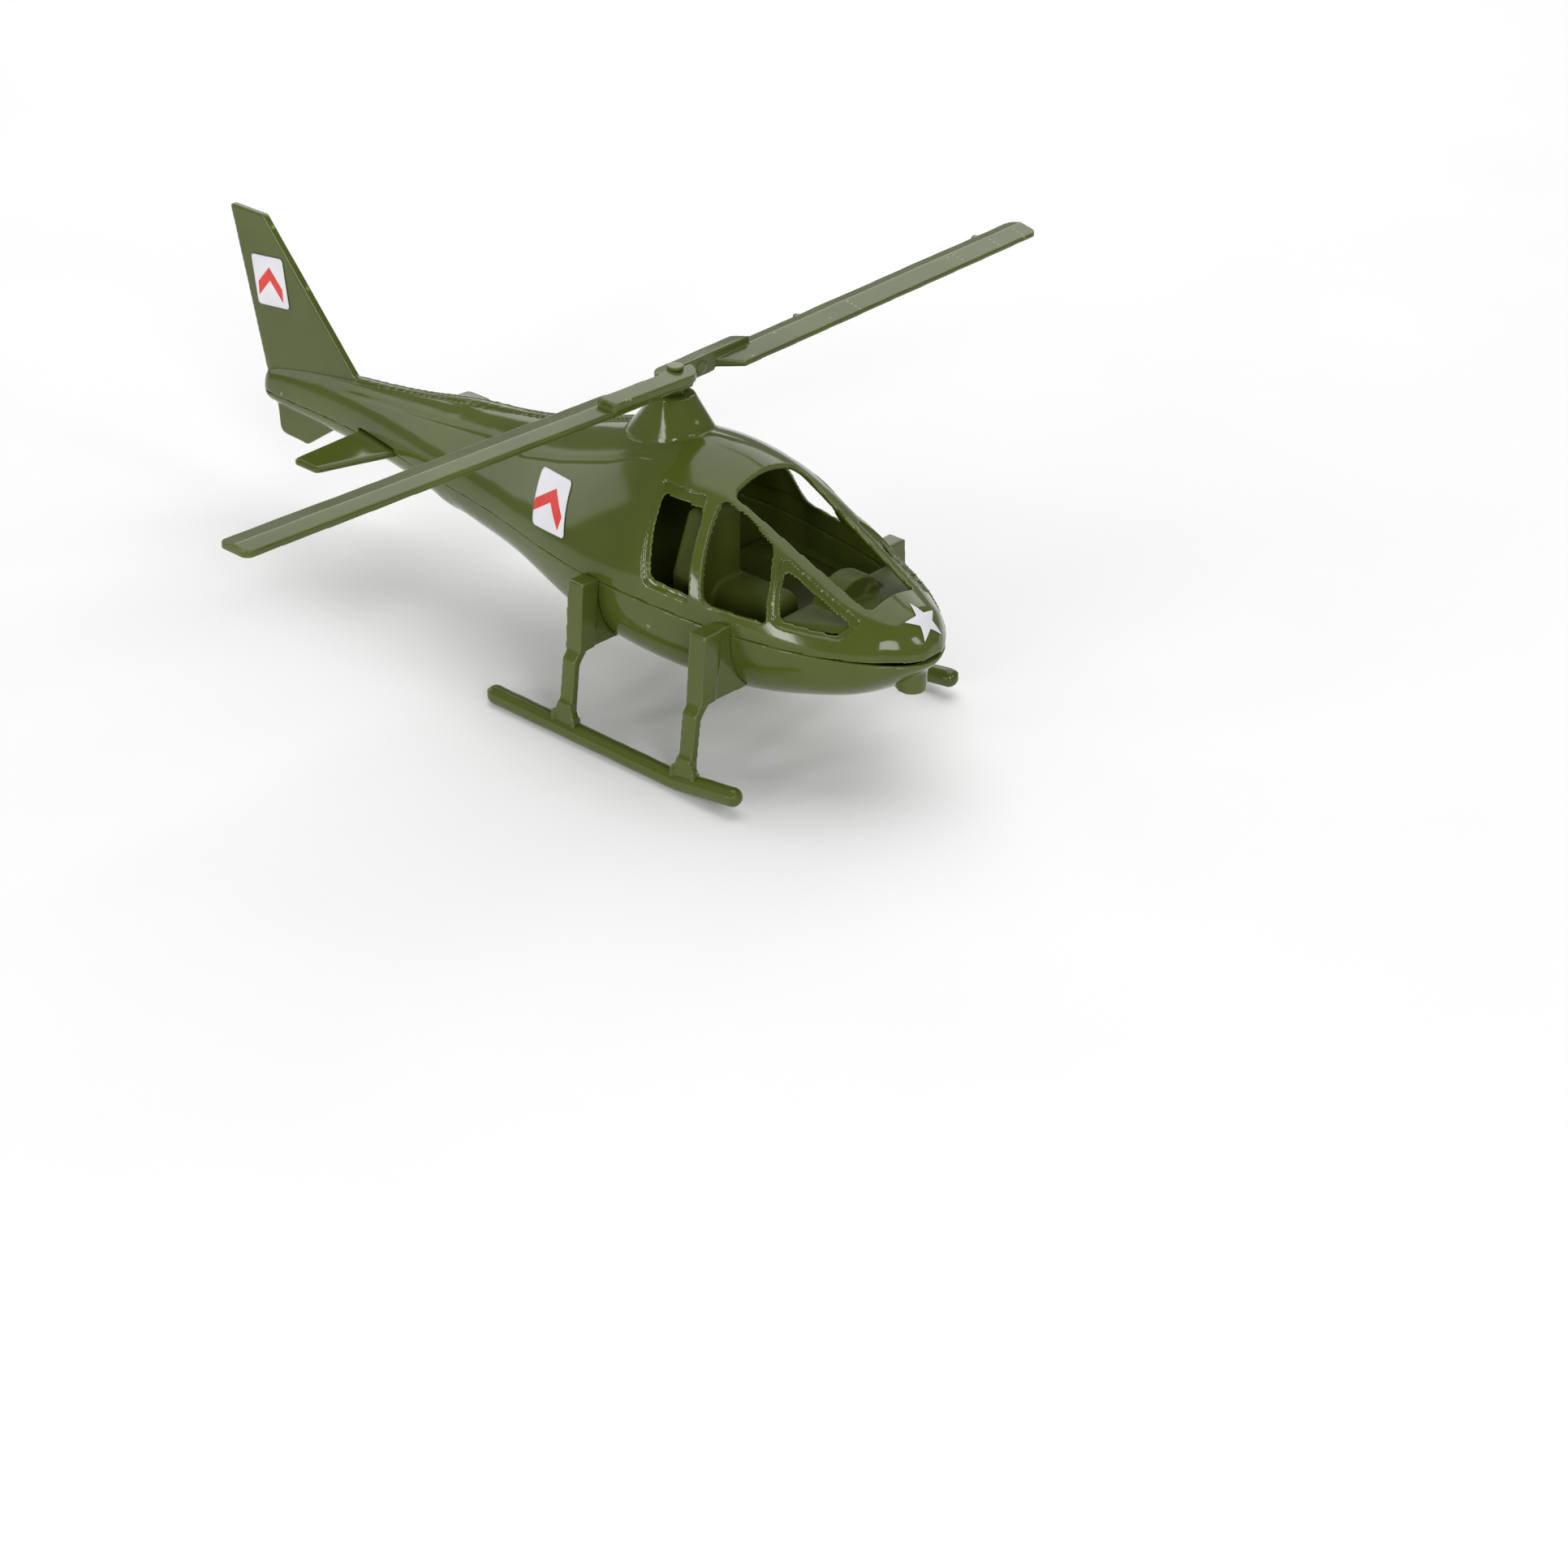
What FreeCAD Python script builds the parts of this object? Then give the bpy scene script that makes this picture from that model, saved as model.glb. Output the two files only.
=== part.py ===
"""Toy helicopter on skids, moulded in olive plastic, as separate pieces in one parametric document.

Millimetres, +Z up, nose towards +X, port side towards +Y. Lengths along the fuselage are measured from the
rotor mast, forwards positive; each piece is then placed with the mast at x = mast_x, which centres the
whole toy on the origin. The skids stand on z = 0.
"""
import FreeCAD, Part
import math
import os

import Sketcher

from FreeCAD import Placement, Rotation, Vector

# ---------------------------------------------------------------- driving dimensions, in mm
DIMENSIONS = {
    # shells
    "mast_x": 39.3,
    "wall": 1.5,
    "seam_gap": 0.2,
    "nose_slot": 0.8,
    "nose_slot_start": 52.0,
    "recess_depth": 0.8,
    "windscreen_top_x": 27.8,
    "windscreen_top_half": 10.8,
    "windscreen_foot_x": 66.5,
    "windscreen_foot_half": 7.7,
    "windscreen_corner": 2.0,
    "spine_half": 1.3,
    "spine_height": 0.8,
    # mast cone on the roof
    "cone_base_z": 62.0,
    "cone_base_fore": 15.2,
    "cone_base_side": 9.7,
    "cone_top_z": 74.6,
    "cone_top_r": 4.5,
    "cone_wall": 1.5,
    # tail surfaces
    "fin_half": 1.0,
    "fin_bevel": 0.7,
    "fin_tip_rear_x": -157.8,
    "fin_tip_front_x": -144.1,
    "fin_tip_z": 81.4,
    "fin_foot_front_x": -112.0,
    "fin_foot_front_z": 45.9,
    "fin_foot_rear_x": -148.0,
    "fin_foot_rear_z": 38.5,
    "fin_root_z": 36.4,
    "ventral_half": 0.8,
    "ventral_rear_x": -145.4,
    "ventral_tip_x": -134.0,
    "ventral_front_x": -119.0,
    "ventral_tip_z": 20.6,
    "ventral_root_z": 29.6,
    "ventral_corner": 2.0,
    "tailplane_bottom_z": 34.2,
    "tailplane_thick": 1.6,
    "tailplane_half_span": 30.0,
    "tailplane_tip_rear_x": -103.6,
    "tailplane_tip_front_x": -94.8,
    "tailplane_root_rear_x": -105.4,
    "tailplane_root_front_x": -85.0,
    "tailplane_corner": 1.6,
    "tailplane_bevel": 0.6,
    "tailplane_slot_side": 0.25,
    "tailplane_slot_top": 0.5,
    "stub_x": 72.6,
    "stub_r": 3.5,
    "stub_bottom_z": 24.2,
    "stub_height": 8.0,
    # pegs that hold the shells together
    "peg_r": 1.2,
    "peg_length": 4.0,
    "socket_r": 2.4,
    "peg_clearance": 0.05,
    "peg_aft_x": -62.0,
    "peg_fore_x": -28.0,
    # landing gear
    "skid_y": 38.3,
    "skid_r": 2.3,
    "skid_z": 2.15,
    "skid_rear_x": -22.9,
    "skid_bend_x": 36.7,
    "skid_front_x": 53.4,
    "skid_front_z": 4.6,
    "leg_rear_x": 0.9,
    "leg_front_x": 39.1,
    "leg_block_half": 2.4,
    "leg_strip_half": 2.05,
    "leg_top_z": 38.6,
    "leg_top_y": 34.6,
    "leg_block_low_y": 35.8,
    "leg_step_z": 21.6,
    "leg_step_low_z": 19.6,
    "leg_step_y": 37.3,
    "leg_foot_y": 39.2,
    "leg_foot_z": 3.6,
    "leg_inner_step_y": 35.5,
    "leg_inner_step_z": 18.4,
    "leg_inner_foot_y": 37.3,
    "leg_block_inner_y": 29.2,
    "leg_block_inner_low_y": 31.0,
    "leg_bend_r": 3.0,
    "web_end_y": 15.0,
    "web_end_z": 21.0,
    "web_z": 21.6,
    "web_bend_y": 32.8,
    "leg_saddle_half": 3.1,
    "leg_saddle_y": 1.8,
    "leg_saddle_top_z": 5.4,
    # cabin
    "floor_top_z": 30.0,
    "floor_thick": 1.4,
    "floor_rear_x": 4.0,
    "floor_front_x": 66.0,
    "floor_gap": 0.3,
    "seat_inner_y": 3.6,
    "seat_outer_y": 21.0,
    "seat_rear_x": 18.5,
    "seat_back_thick": 5.5,
    "seat_back_top_z": 57.0,
    "seat_back_top_outer_y": 15.0,
    "seat_cushion_front_x": 41.0,
    "seat_cushion_top_z": 38.0,
    "seat_round": 2.2,
    "cushion_inner_y": 2.6,
    "cushion_outer_y": 13.4,
    "cushion_round": 3.6,
    "console_rear_x": 50.0,
    "console_length": 6.3,
    "console_r": 10.5,
    "console_top_z": 46.1,
    "deck_top_z": 41.0,
    "deck_thick": 1.4,
    "deck_front_x": 68.0,
    "console_bump_r": 2.2,
    "console_bump_y": 4.3,
    "console_bump_z": 41.0,
    "console_bump_height": 0.8,
    # rotor
    "rotor_radius": 129.0,
    "bar_width": 4.6,
    "bar_end_y": 25.2,
    "bar_end_slant": 1.2,
    "bar_inner_end": 4.8,
    "bar_ridge_z": 80.5,
    "bar_edge_z": 79.7,
    "bar_low_z": 77.6,
    "bar_corner": 1.0,
    "bar_joint_gap": 0.05,
    "plate_width": 2.3,
    "plate_end_y": 13.3,
    "plate_bottom_z": 75.6,
    "blade_rear": 5.2,
    "blade_front": 4.1,
    "blade_ridge": 0.3,
    "blade_bottom_z": 76.4,
    "blade_rear_z": 77.6,
    "blade_front_z": 77.9,
    "blade_ridge_z": 78.7,
    "blade_root_slant_y": 18.3,
    "blade_tip_corner": 2.2,
    "coning": 1.3,
    "coning_z": 78.0,
    "hub_boss_r": 2.3,
    "hub_boss_bottom_z": 75.0,
    "pin_r": 1.25,
    "pin_clearance": 0.06,
    "pin_head_r": 2.0,
    "pin_head_bottom_z": 80.5,
    "pin_head_height": 0.8,
    "pin_end_z": 70.4,
    "retainer_r": 2.4,
    "retainer_top_z": 72.7,
    "retainer_thick": 1.5,
    "ejector_r": 1.5,
    "ejector_height": 0.25,
    "ejector_y": 8.7,
    "ejector_z": 77.9,
    # stickers
    "sticker_thick": 0.15,
    "sticker_lift": 0.06,
    "port_sticker_gap": 0.5,
    "port_sticker_raised": 0.9,
    "fin_sticker_x": -143.5,
    "fin_sticker_z": 63.8,
    "fin_sticker_width": 12.6,
    "fin_sticker_height": 13.6,
    "fin_sticker_shear": -0.12,
    "fin_sticker_rise": 0.11,
    "side_sticker_x": -19.8,
    "side_sticker_z": 47.4,
    "side_sticker_width": 13.4,
    "side_sticker_height": 10.4,
    "side_sticker_shear": -0.5,
    "side_sticker_rise": 0.09,
    "sticker_corner": 1.2,
    "star_x": 74.1,
    "star_y": 1.1,
    "star_z": 40.7,
    "star_r": 5.4,
    "star_turn": 178.0,
    "star_tilt": 40.0,
    "star_depth": 4.0,
}

# Fuselage frames, named from tail to nose: distance from the mast, half width at the seam, heights of the
# seam, roof and belly, and the fullness of the roof and belly curves (2 is an ellipse, more is squarer).
FRAME_FIELDS = ("x", "half", "seam", "roof", "belly", "roof_full", "belly_full")
FRAMES = {
    "tail_end": (-149.0, 2.6, 32.5, 38.9, 29.4, 2.0, 2.0),
    "fin_frame": (-130.0, 4.2, 33.5, 42.6, 29.0, 2.0, 2.0),
    "tailplane_frame": (-105.0, 7.1, 34.6, 46.1, 28.3, 1.95, 2.0),
    "boom_middle": (-80.0, 11.9, 35.5, 49.9, 26.6, 1.85, 2.0),
    "boom_root": (-55.0, 17.0, 36.5, 53.8, 23.8, 1.75, 2.0),
    "shoulder": (-35.0, 21.8, 37.3, 57.6, 21.4, 1.62, 2.0),
    "cabin_aft": (-15.0, 27.0, 37.8, 63.6, 17.6, 1.55, 2.25),
    "mast_frame": (5.0, 29.4, 37.8, 67.6, 15.0, 1.65, 2.45),
    "brow": (25.0, 28.2, 36.9, 65.2, 14.2, 1.8, 2.45),
    "door_frame": (42.0, 25.6, 36.0, 57.1, 15.6, 1.84, 2.35),
    "dash_frame": (54.0, 22.0, 35.4, 51.2, 18.0, 1.82, 2.15),
    "foot_frame": (63.0, 17.9, 34.9, 46.9, 20.8, 1.85, 2.05),
    "nose_frame": (70.0, 13.3, 34.6, 44.1, 24.6, 1.95, 2.0),
    "nose_ball": (75.0, 8.7, 34.4, 41.4, 28.6, 2.0, 2.0),
    "nose_tip": (78.6, 3.0, 34.2, 37.2, 32.2, 2.0, 2.0),
}

# Side outlines of the three door windows, corner by corner as (forward, height, corner radius): the frame
# sunk into the skin, and the opening inside it.
WINDOWS = {
    "rear": {
        "recess": (
            (10.4, 61.6, 0.9),
            (23.3, 60.9, 0.9),
            (25.8, 56.2, 3.0),
            (29.6, 40.5, 0.9),
            (16.6, 41.4, 3.0),
        ),
        "opening": (
            (12.6, 58.9, 0.6),
            (23.4, 58.2, 0.6),
            (25.4, 54.8, 3.0),
            (28.9, 41.8, 0.6),
            (17.6, 42.8, 2.0),
        ),
    },
    "middle": {
        "recess": (
            (26.4, 60.6, 0.8),
            (34.2, 57.7, 6.0),
            (42.4, 53.2, 0.8),
            (46.0, 47.6, 6.0),
            (48.9, 40.1, 0.8),
            (32.6, 41.3, 3.0),
        ),
        "opening": (
            (28.1, 57.7, 0.6),
            (34.9, 55.2, 6.0),
            (42.2, 51.8, 0.6),
            (45.3, 47.0, 5.0),
            (47.9, 41.1, 0.6),
            (33.5, 42.3, 2.0),
        ),
    },
    "front": {
        "recess": (
            (44.4, 52.6, 0.5),
            (55.4, 47.5, 8.0),
            (66.4, 42.6, 0.8),
            (65.0, 38.8, 1.8),
            (50.4, 40.1, 2.5),
        ),
        "opening": (
            (46.5, 49.8, 0.4),
            (55.0, 45.9, 8.0),
            (64.6, 41.4, 0.8),
            (62.9, 39.6, 0.9),
            (51.0, 41.1, 2.0),
        ),
    },
}

SECTION_POINTS = 12
REACH = 200.0
STAR_POINTS = 5
STAR_WAIST = 0.42

doc = FreeCAD.newDocument("toy_helicopter")
sheet = doc.addObject("Spreadsheet::Sheet", "Dimensions")
pieces = []


def fill_sheet():
    """Writes every driving dimension into the spreadsheet, one alias per row."""
    cells = dict(DIMENSIONS)
    for frame, values in FRAMES.items():
        cells.update({f"{frame}_{field}": value for field, value in zip(FRAME_FIELDS, values)})
    for row, (alias, value) in enumerate(cells.items(), start=1):
        sheet.set(f"A{row}", alias)
        sheet.set(f"B{row}", str(value))
        sheet.setAlias(f"B{row}", alias)
    doc.recompute()


def dim(alias):
    """The value that the spreadsheet holds for an alias."""
    return float(getattr(sheet, alias))


def bind(obj, **properties):
    """Binds an object's properties to expressions over the spreadsheet's aliases."""
    for name, expression in properties.items():
        obj.setExpression(name.replace("__", "."), expression)
    return obj


def cell(alias):
    return f"Dimensions.{alias}"


def feature(name, shape):
    """A document object that holds a shape made with Part's own functions."""
    obj = doc.addObject("Part::Feature", name)
    obj.Shape = shape
    return obj


def fuse(name, parts):
    obj = doc.addObject("Part::MultiFuse", name)
    obj.Shapes = parts
    return obj


def cut(name, base, tools):
    """The base with every tool taken out of it, as a chain of Part::Cut objects."""
    for number, tool in enumerate(tools, start=1):
        obj = doc.addObject("Part::Cut", f"{name}_cut_{number}")
        obj.Base = base
        obj.Tool = tool
        base = obj
    return base


def common(name, parts):
    obj = doc.addObject("Part::MultiCommon", name)
    obj.Shapes = parts
    return obj


def finish(obj, node, turn=0.0):
    """Names a piece, turns it about the mast and places the mast at its distance from the toy's centre."""
    obj.Label = node
    obj.Placement = Placement(Vector(dim("mast_x"), 0, 0), Rotation(Vector(0, 0, 1), turn))
    pieces.append(obj)


# ---------------------------------------------------------------- sketch helpers
def origin_plane(body, role):
    return next(item for item in body.Origin.OriginFeatures if item.Role == role)


def new_body(name):
    return doc.addObject("PartDesign::Body", name)


def outline_sketch(body, name, plane, corners, offset=None):
    """A closed outline on an origin plane, each corner's two coordinates bound to expressions."""
    sketch = body.newObject("Sketcher::SketchObject", name)
    sketch.AttachmentSupport = [(origin_plane(body, plane), "")]
    sketch.MapMode = "FlatFace"
    if offset:
        sketch.setExpression("AttachmentOffset.Base.z", offset)
    spots = [Vector(evaluate(x), evaluate(y), 0) for x, y in corners]
    count = len(spots)
    for index in range(count):
        sketch.addGeometry(Part.LineSegment(spots[index], spots[(index + 1) % count]))
    for index in range(count):
        sketch.addConstraint(Sketcher.Constraint("Coincident", index, 2, (index + 1) % count, 1))
    for index, (x, y) in enumerate(corners):
        for kind, expression, value in (("DistanceX", x, spots[index].x), ("DistanceY", y, spots[index].y)):
            number = sketch.addConstraint(Sketcher.Constraint(kind, -1, 1, index, 1, value))
            sketch.setExpression(f"Constraints[{number}]", expression)
    return sketch


def circle_sketch(body, name, plane, centre, radius, offset=None):
    """A circle on an origin plane, its centre and radius bound to expressions."""
    sketch = body.newObject("Sketcher::SketchObject", name)
    sketch.AttachmentSupport = [(origin_plane(body, plane), "")]
    sketch.MapMode = "FlatFace"
    if offset:
        sketch.setExpression("AttachmentOffset.Base.z", offset)
    x, y = (evaluate(value) for value in centre)
    sketch.addGeometry(Part.Circle(Vector(x, y, 0), Vector(0, 0, 1), evaluate(radius)))
    constraints = (
        (Sketcher.Constraint("Radius", 0, evaluate(radius)), radius),
        (Sketcher.Constraint("DistanceX", -1, 1, 0, 3, x), centre[0]),
        (Sketcher.Constraint("DistanceY", -1, 1, 0, 3, y), centre[1]),
    )
    for constraint, expression in constraints:
        number = sketch.addConstraint(constraint)
        sketch.setExpression(f"Constraints[{number}]", expression)
    return sketch


def evaluate(expression):
    """The number that an expression over the spreadsheet gives now."""
    return float(sheet.evalExpression(expression.replace("Dimensions.", "")))


def pad(body, name, sketch, length, both=False, back=False):
    obj = body.newObject("PartDesign::Pad", name)
    obj.Profile = sketch
    obj.Midplane = both
    obj.Reversed = back
    obj.setExpression("Length", length)
    return obj


def pocket(body, name, sketch, length, both=False, back=False):
    obj = body.newObject("PartDesign::Pocket", name)
    obj.Profile = sketch
    obj.Midplane = both
    obj.Reversed = back
    obj.setExpression("Length", length)
    return obj


def edges_where(obj, test):
    """Names of the edges whose two ends and middle all pass a test on a point."""
    found = []
    for number, edge in enumerate(obj.Shape.Edges, start=1):
        middle = edge.valueAt((edge.FirstParameter + edge.LastParameter) / 2)
        spots = [vertex.Point for vertex in edge.Vertexes] + [middle]
        if all(test(spot) for spot in spots):
            found.append(f"Edge{number}")
    return found


def dress(body, kind, name, base, edges, size):
    """A Fillet or Chamfer on named edges of a base feature."""
    obj = body.newObject(f"PartDesign::{kind}", name)
    obj.Base = (base, edges)
    obj.setExpression("Radius" if kind == "Fillet" else "Size", size)
    return obj


# ---------------------------------------------------------------- fuselage surfaces
def half_curve(x, half, seam, rise, full):
    """Half of a frame, from the starboard seam over (or under) to the port seam."""
    sign = 1 if rise > 0 else -1
    points = []
    for step in range(SECTION_POINTS + 1):
        angle = math.pi * step / SECTION_POINTS
        across = -math.cos(angle)
        y = math.copysign(abs(across) ** (2 / full), across) * half
        z = seam + rise * math.sin(angle) ** (2 / full) if 0 < step < SECTION_POINTS else seam
        points.append(Vector(x, y, z))
    curve = Part.BSplineCurve()
    curve.interpolate(Points=points, InitialTangent=Vector(0, 0, sign), FinalTangent=Vector(0, 0, -sign))
    return curve.toShape()


def hull(grow):
    """The solid fuselage with its skin moved outwards by grow, or inwards where grow is negative."""
    sections = []
    for frame in FRAMES:
        x, half, seam, roof, belly, roof_full, belly_full = (dim(f"{frame}_{f}") for f in FRAME_FIELDS)
        if frame == "tail_end":
            x -= grow
        if frame == "nose_tip":
            x += grow
        shrink = max(grow, -0.62 * min(half, roof - seam, seam - belly))
        upper = half_curve(x, half + shrink, seam, roof - seam + shrink, roof_full)
        lower = half_curve(x, half + shrink, seam, belly - seam - shrink, belly_full)
        sections.append(Part.Wire([upper, lower]))
    return Part.makeLoft(sections, True, False)


def seam_height(x):
    """Height of the seam between the shells, straight from frame to frame."""
    stations = [(dim(f"{frame}_x"), dim(f"{frame}_seam")) for frame in FRAMES]
    for (x_0, z_0), (x_1, z_1) in zip(stations, stations[1:]):
        if x_0 <= x <= x_1:
            return z_0 + (z_1 - z_0) * (x - x_0) / (x_1 - x_0)
    return stations[0][1] if x < stations[0][0] else stations[-1][1]


def side_region(below, shift):
    """Everything above or below the seam, raised by shift(x), as one slab across the toy."""
    stations = [dim(f"{frame}_x") for frame in FRAMES]
    stations = [stations[0] - 30] + stations + [stations[-1] + 30]
    edge = [Vector(x, -REACH / 2, seam_height(x) + shift(x)) for x in stations]
    curve = Part.BSplineCurve()
    curve.interpolate(Points=edge)
    far_z = -REACH if below else REACH
    corners = [edge[-1], Vector(edge[-1].x, -REACH / 2, far_z), Vector(edge[0].x, -REACH / 2, far_z), edge[0]]
    lines = [Part.makeLine(a, b) for a, b in zip(corners, corners[1:])]
    face = Part.Face(Part.Wire([curve.toShape()] + lines))
    return face.extrude(Vector(0, REACH, 0))


def peg_room():
    """The space below the seam that the upper shell's pegs fill."""
    posts = []
    for place in ("aft", "fore"):
        base = Vector(dim(f"peg_{place}_x"), 0, dim("shoulder_seam") - dim("peg_length"))
        posts.append(Part.makeCylinder(dim("peg_r") + 0.01, dim("peg_length") + 2, base))
    return posts[0].fuse(posts[1])


def slot_shift(x):
    """How far the lower shell's edge drops below the seam: nothing aft, opening to the slot at the nose."""
    start, tip = dim("nose_slot_start"), dim("nose_tip_x")
    share = min(max((x - start) / (tip - start), 0.0), 1.0)
    return -dim("nose_slot") * share * share


def prism(points, along, radii):
    """A closed outline swept along a vector, with one radius for each of its corners."""
    sides = []
    starts = []
    ends = []
    for before, corner, after, radius in zip(points[-1:] + points, points, points[1:] + points[:1], radii):
        back, on = (before - corner).normalize(), (after - corner).normalize()
        half_angle = back.getAngle(on) / 2
        reach = radius / math.tan(half_angle)
        centre = corner + (back + on).normalize() * (radius / math.sin(half_angle))
        middle = centre + (corner - centre).normalize() * radius
        starts.append(corner + back * reach)
        ends.append(corner + on * reach)
        sides.append(Part.Arc(starts[-1], middle, ends[-1]).toShape())
    for index, end in enumerate(ends):
        sides.append(Part.makeLine(end, starts[(index + 1) % len(starts)]))
    return Part.Face(Part.Wire(Part.__sortEdges__(sides))).extrude(along)


def plain_prism(points, along):
    """A closed outline swept along a vector, with sharp corners."""
    return Part.Face(Part.makePolygon(points + points[:1])).extrude(along)


def side_prism(outline):
    """An outline seen from the side, swept right across the toy."""
    points = [Vector(x, -REACH / 2, z) for x, z, _ in outline]
    return prism(points, Vector(0, REACH, 0), [radius for _, _, radius in outline])


def window_cutters():
    """For each door window, the sunk frame in the skin and the opening through the wall."""
    under_skin = hull(-dim("recess_depth"))
    tools = []
    for name, outlines in WINDOWS.items():
        tools.append(feature(f"{name}_window_recess", side_prism(outlines["recess"]).cut(under_skin)))
        tools.append(feature(f"{name}_window_opening", side_prism(outlines["opening"])))
    return tools


def windscreen_cutter():
    """The windscreen opening, cut straight down through the sloping front of the cabin."""
    top_x, top_half = dim("windscreen_top_x"), dim("windscreen_top_half")
    foot_x, foot_half = dim("windscreen_foot_x"), dim("windscreen_foot_half")
    low = dim("nose_frame_seam") + 3
    outline = ((top_x, -top_half), (foot_x, -foot_half), (foot_x, foot_half), (top_x, top_half))
    points = [Vector(x, y, low) for x, y in outline]
    radii = [dim("windscreen_corner")] * len(points)
    return feature("windscreen_opening", prism(points, Vector(0, 0, REACH), radii))


def fin_plate():
    """The upright fin, a flat plate whose leading and top edges are bevelled on both sides."""
    outline = (
        (dim("fin_tip_rear_x"), dim("fin_tip_z")),
        (dim("fin_tip_front_x"), dim("fin_tip_z")),
        (dim("fin_foot_front_x"), dim("fin_foot_front_z")),
        (dim("fin_foot_front_x"), dim("fin_root_z")),
        (dim("fin_foot_rear_x"), dim("fin_root_z")),
        (dim("fin_foot_rear_x"), dim("fin_foot_rear_z")),
    )
    half = dim("fin_half")
    plate = Part.Face(Part.makePolygon([Vector(x, -half, z) for x, z in outline + outline[:1]]))
    plate = plate.extrude(Vector(0, 2 * half, 0))
    tip, foot = Vector(*(outline[1][0], 0, outline[1][1])), Vector(*(outline[2][0], 0, outline[2][1]))
    lead = (foot - tip).normalize()
    edges = []
    for edge in plate.Edges:
        ends = [vertex.Point for vertex in edge.Vertexes]
        along = (ends[1] - ends[0]).normalize()
        beside = Vector(ends[0].x - tip.x, 0, ends[0].z - tip.z).cross(lead).Length < 1e-3
        if abs(along.dot(lead)) > 0.999 and beside:
            edges.append(edge)
    return plate.makeChamfer(dim("fin_bevel"), edges)


def ventral_plate():
    """The small fin under the boom's end, with rounded corners."""
    outline = (
        (dim("ventral_rear_x"), dim("ventral_root_z") + 3),
        (dim("ventral_rear_x") + 0.8, dim("ventral_tip_z") + 0.6),
        (dim("ventral_tip_x"), dim("ventral_tip_z")),
        (dim("ventral_front_x"), dim("ventral_root_z") + 1),
        (dim("ventral_front_x"), dim("ventral_root_z") + 3),
    )
    half = dim("ventral_half")
    points = [Vector(x, -half, z) for x, z in outline]
    solid = Part.Face(Part.makePolygon(points + points[:1])).extrude(Vector(0, 2 * half, 0))
    low = [
        edge
        for edge in solid.Edges
        if abs(edge.Vertexes[0].Point.z - edge.Vertexes[-1].Point.z) < 1e-6
        and abs(edge.Vertexes[0].Point.x - edge.Vertexes[-1].Point.x) < 1e-6
        and edge.Vertexes[0].Point.z < dim("ventral_tip_z") + 1
    ]
    return solid.makeFillet(dim("ventral_corner"), low)


def tailplane_outline(margin):
    """Corners of the tailplane seen from above, each side grown by a margin along the fuselage."""
    rear_tip, front_tip = dim("tailplane_tip_rear_x") - margin, dim("tailplane_tip_front_x") + margin
    rear_root, front_root = dim("tailplane_root_rear_x") - margin, dim("tailplane_root_front_x") + margin
    span = dim("tailplane_half_span")
    return (
        (rear_root, 0.0),
        (rear_tip, -span),
        (front_tip, -span),
        (front_root, 0.0),
        (front_tip, span),
        (rear_tip, span),
    )


def tailplane_slot():
    """The slot at the seam that the tailplane passes through, open above the plate."""
    bottom = dim("tailplane_bottom_z")
    points = [Vector(x, y, bottom) for x, y in tailplane_outline(dim("tailplane_slot_side"))]
    height = dim("tailplane_thick") + dim("tailplane_slot_top")
    return feature("tailplane_slot", plain_prism(points, Vector(0, 0, height)))


def cylinder(name, x, radius, low, high):
    """An upright cylinder at a distance from the mast, bound to the spreadsheet."""
    obj = doc.addObject("Part::Cylinder", name)
    bind(obj, Placement__Base__x=x, Placement__Base__z=low, Radius=radius, Height=f"({high}) - ({low})")
    return obj


def mast_cone(name, inset):
    """The rotor mast's fairing, from an oval on the roof to a circle, or the hollow inside its wall."""
    base = Part.Ellipse(Vector(), dim("cone_base_fore") - inset, dim("cone_base_side") - inset)
    base.Center = Vector(0, 0, dim("cone_base_z") - inset)
    top = Part.Ellipse(Vector(), dim("cone_top_r") - inset + 1e-3, dim("cone_top_r") - inset)
    top.Center = Vector(0, 0, dim("cone_top_z") - inset)
    wires = [Part.Wire([base.toShape()]), Part.Wire([top.toShape()])]
    return feature(name, Part.makeLoft(wires, True, True))


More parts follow.
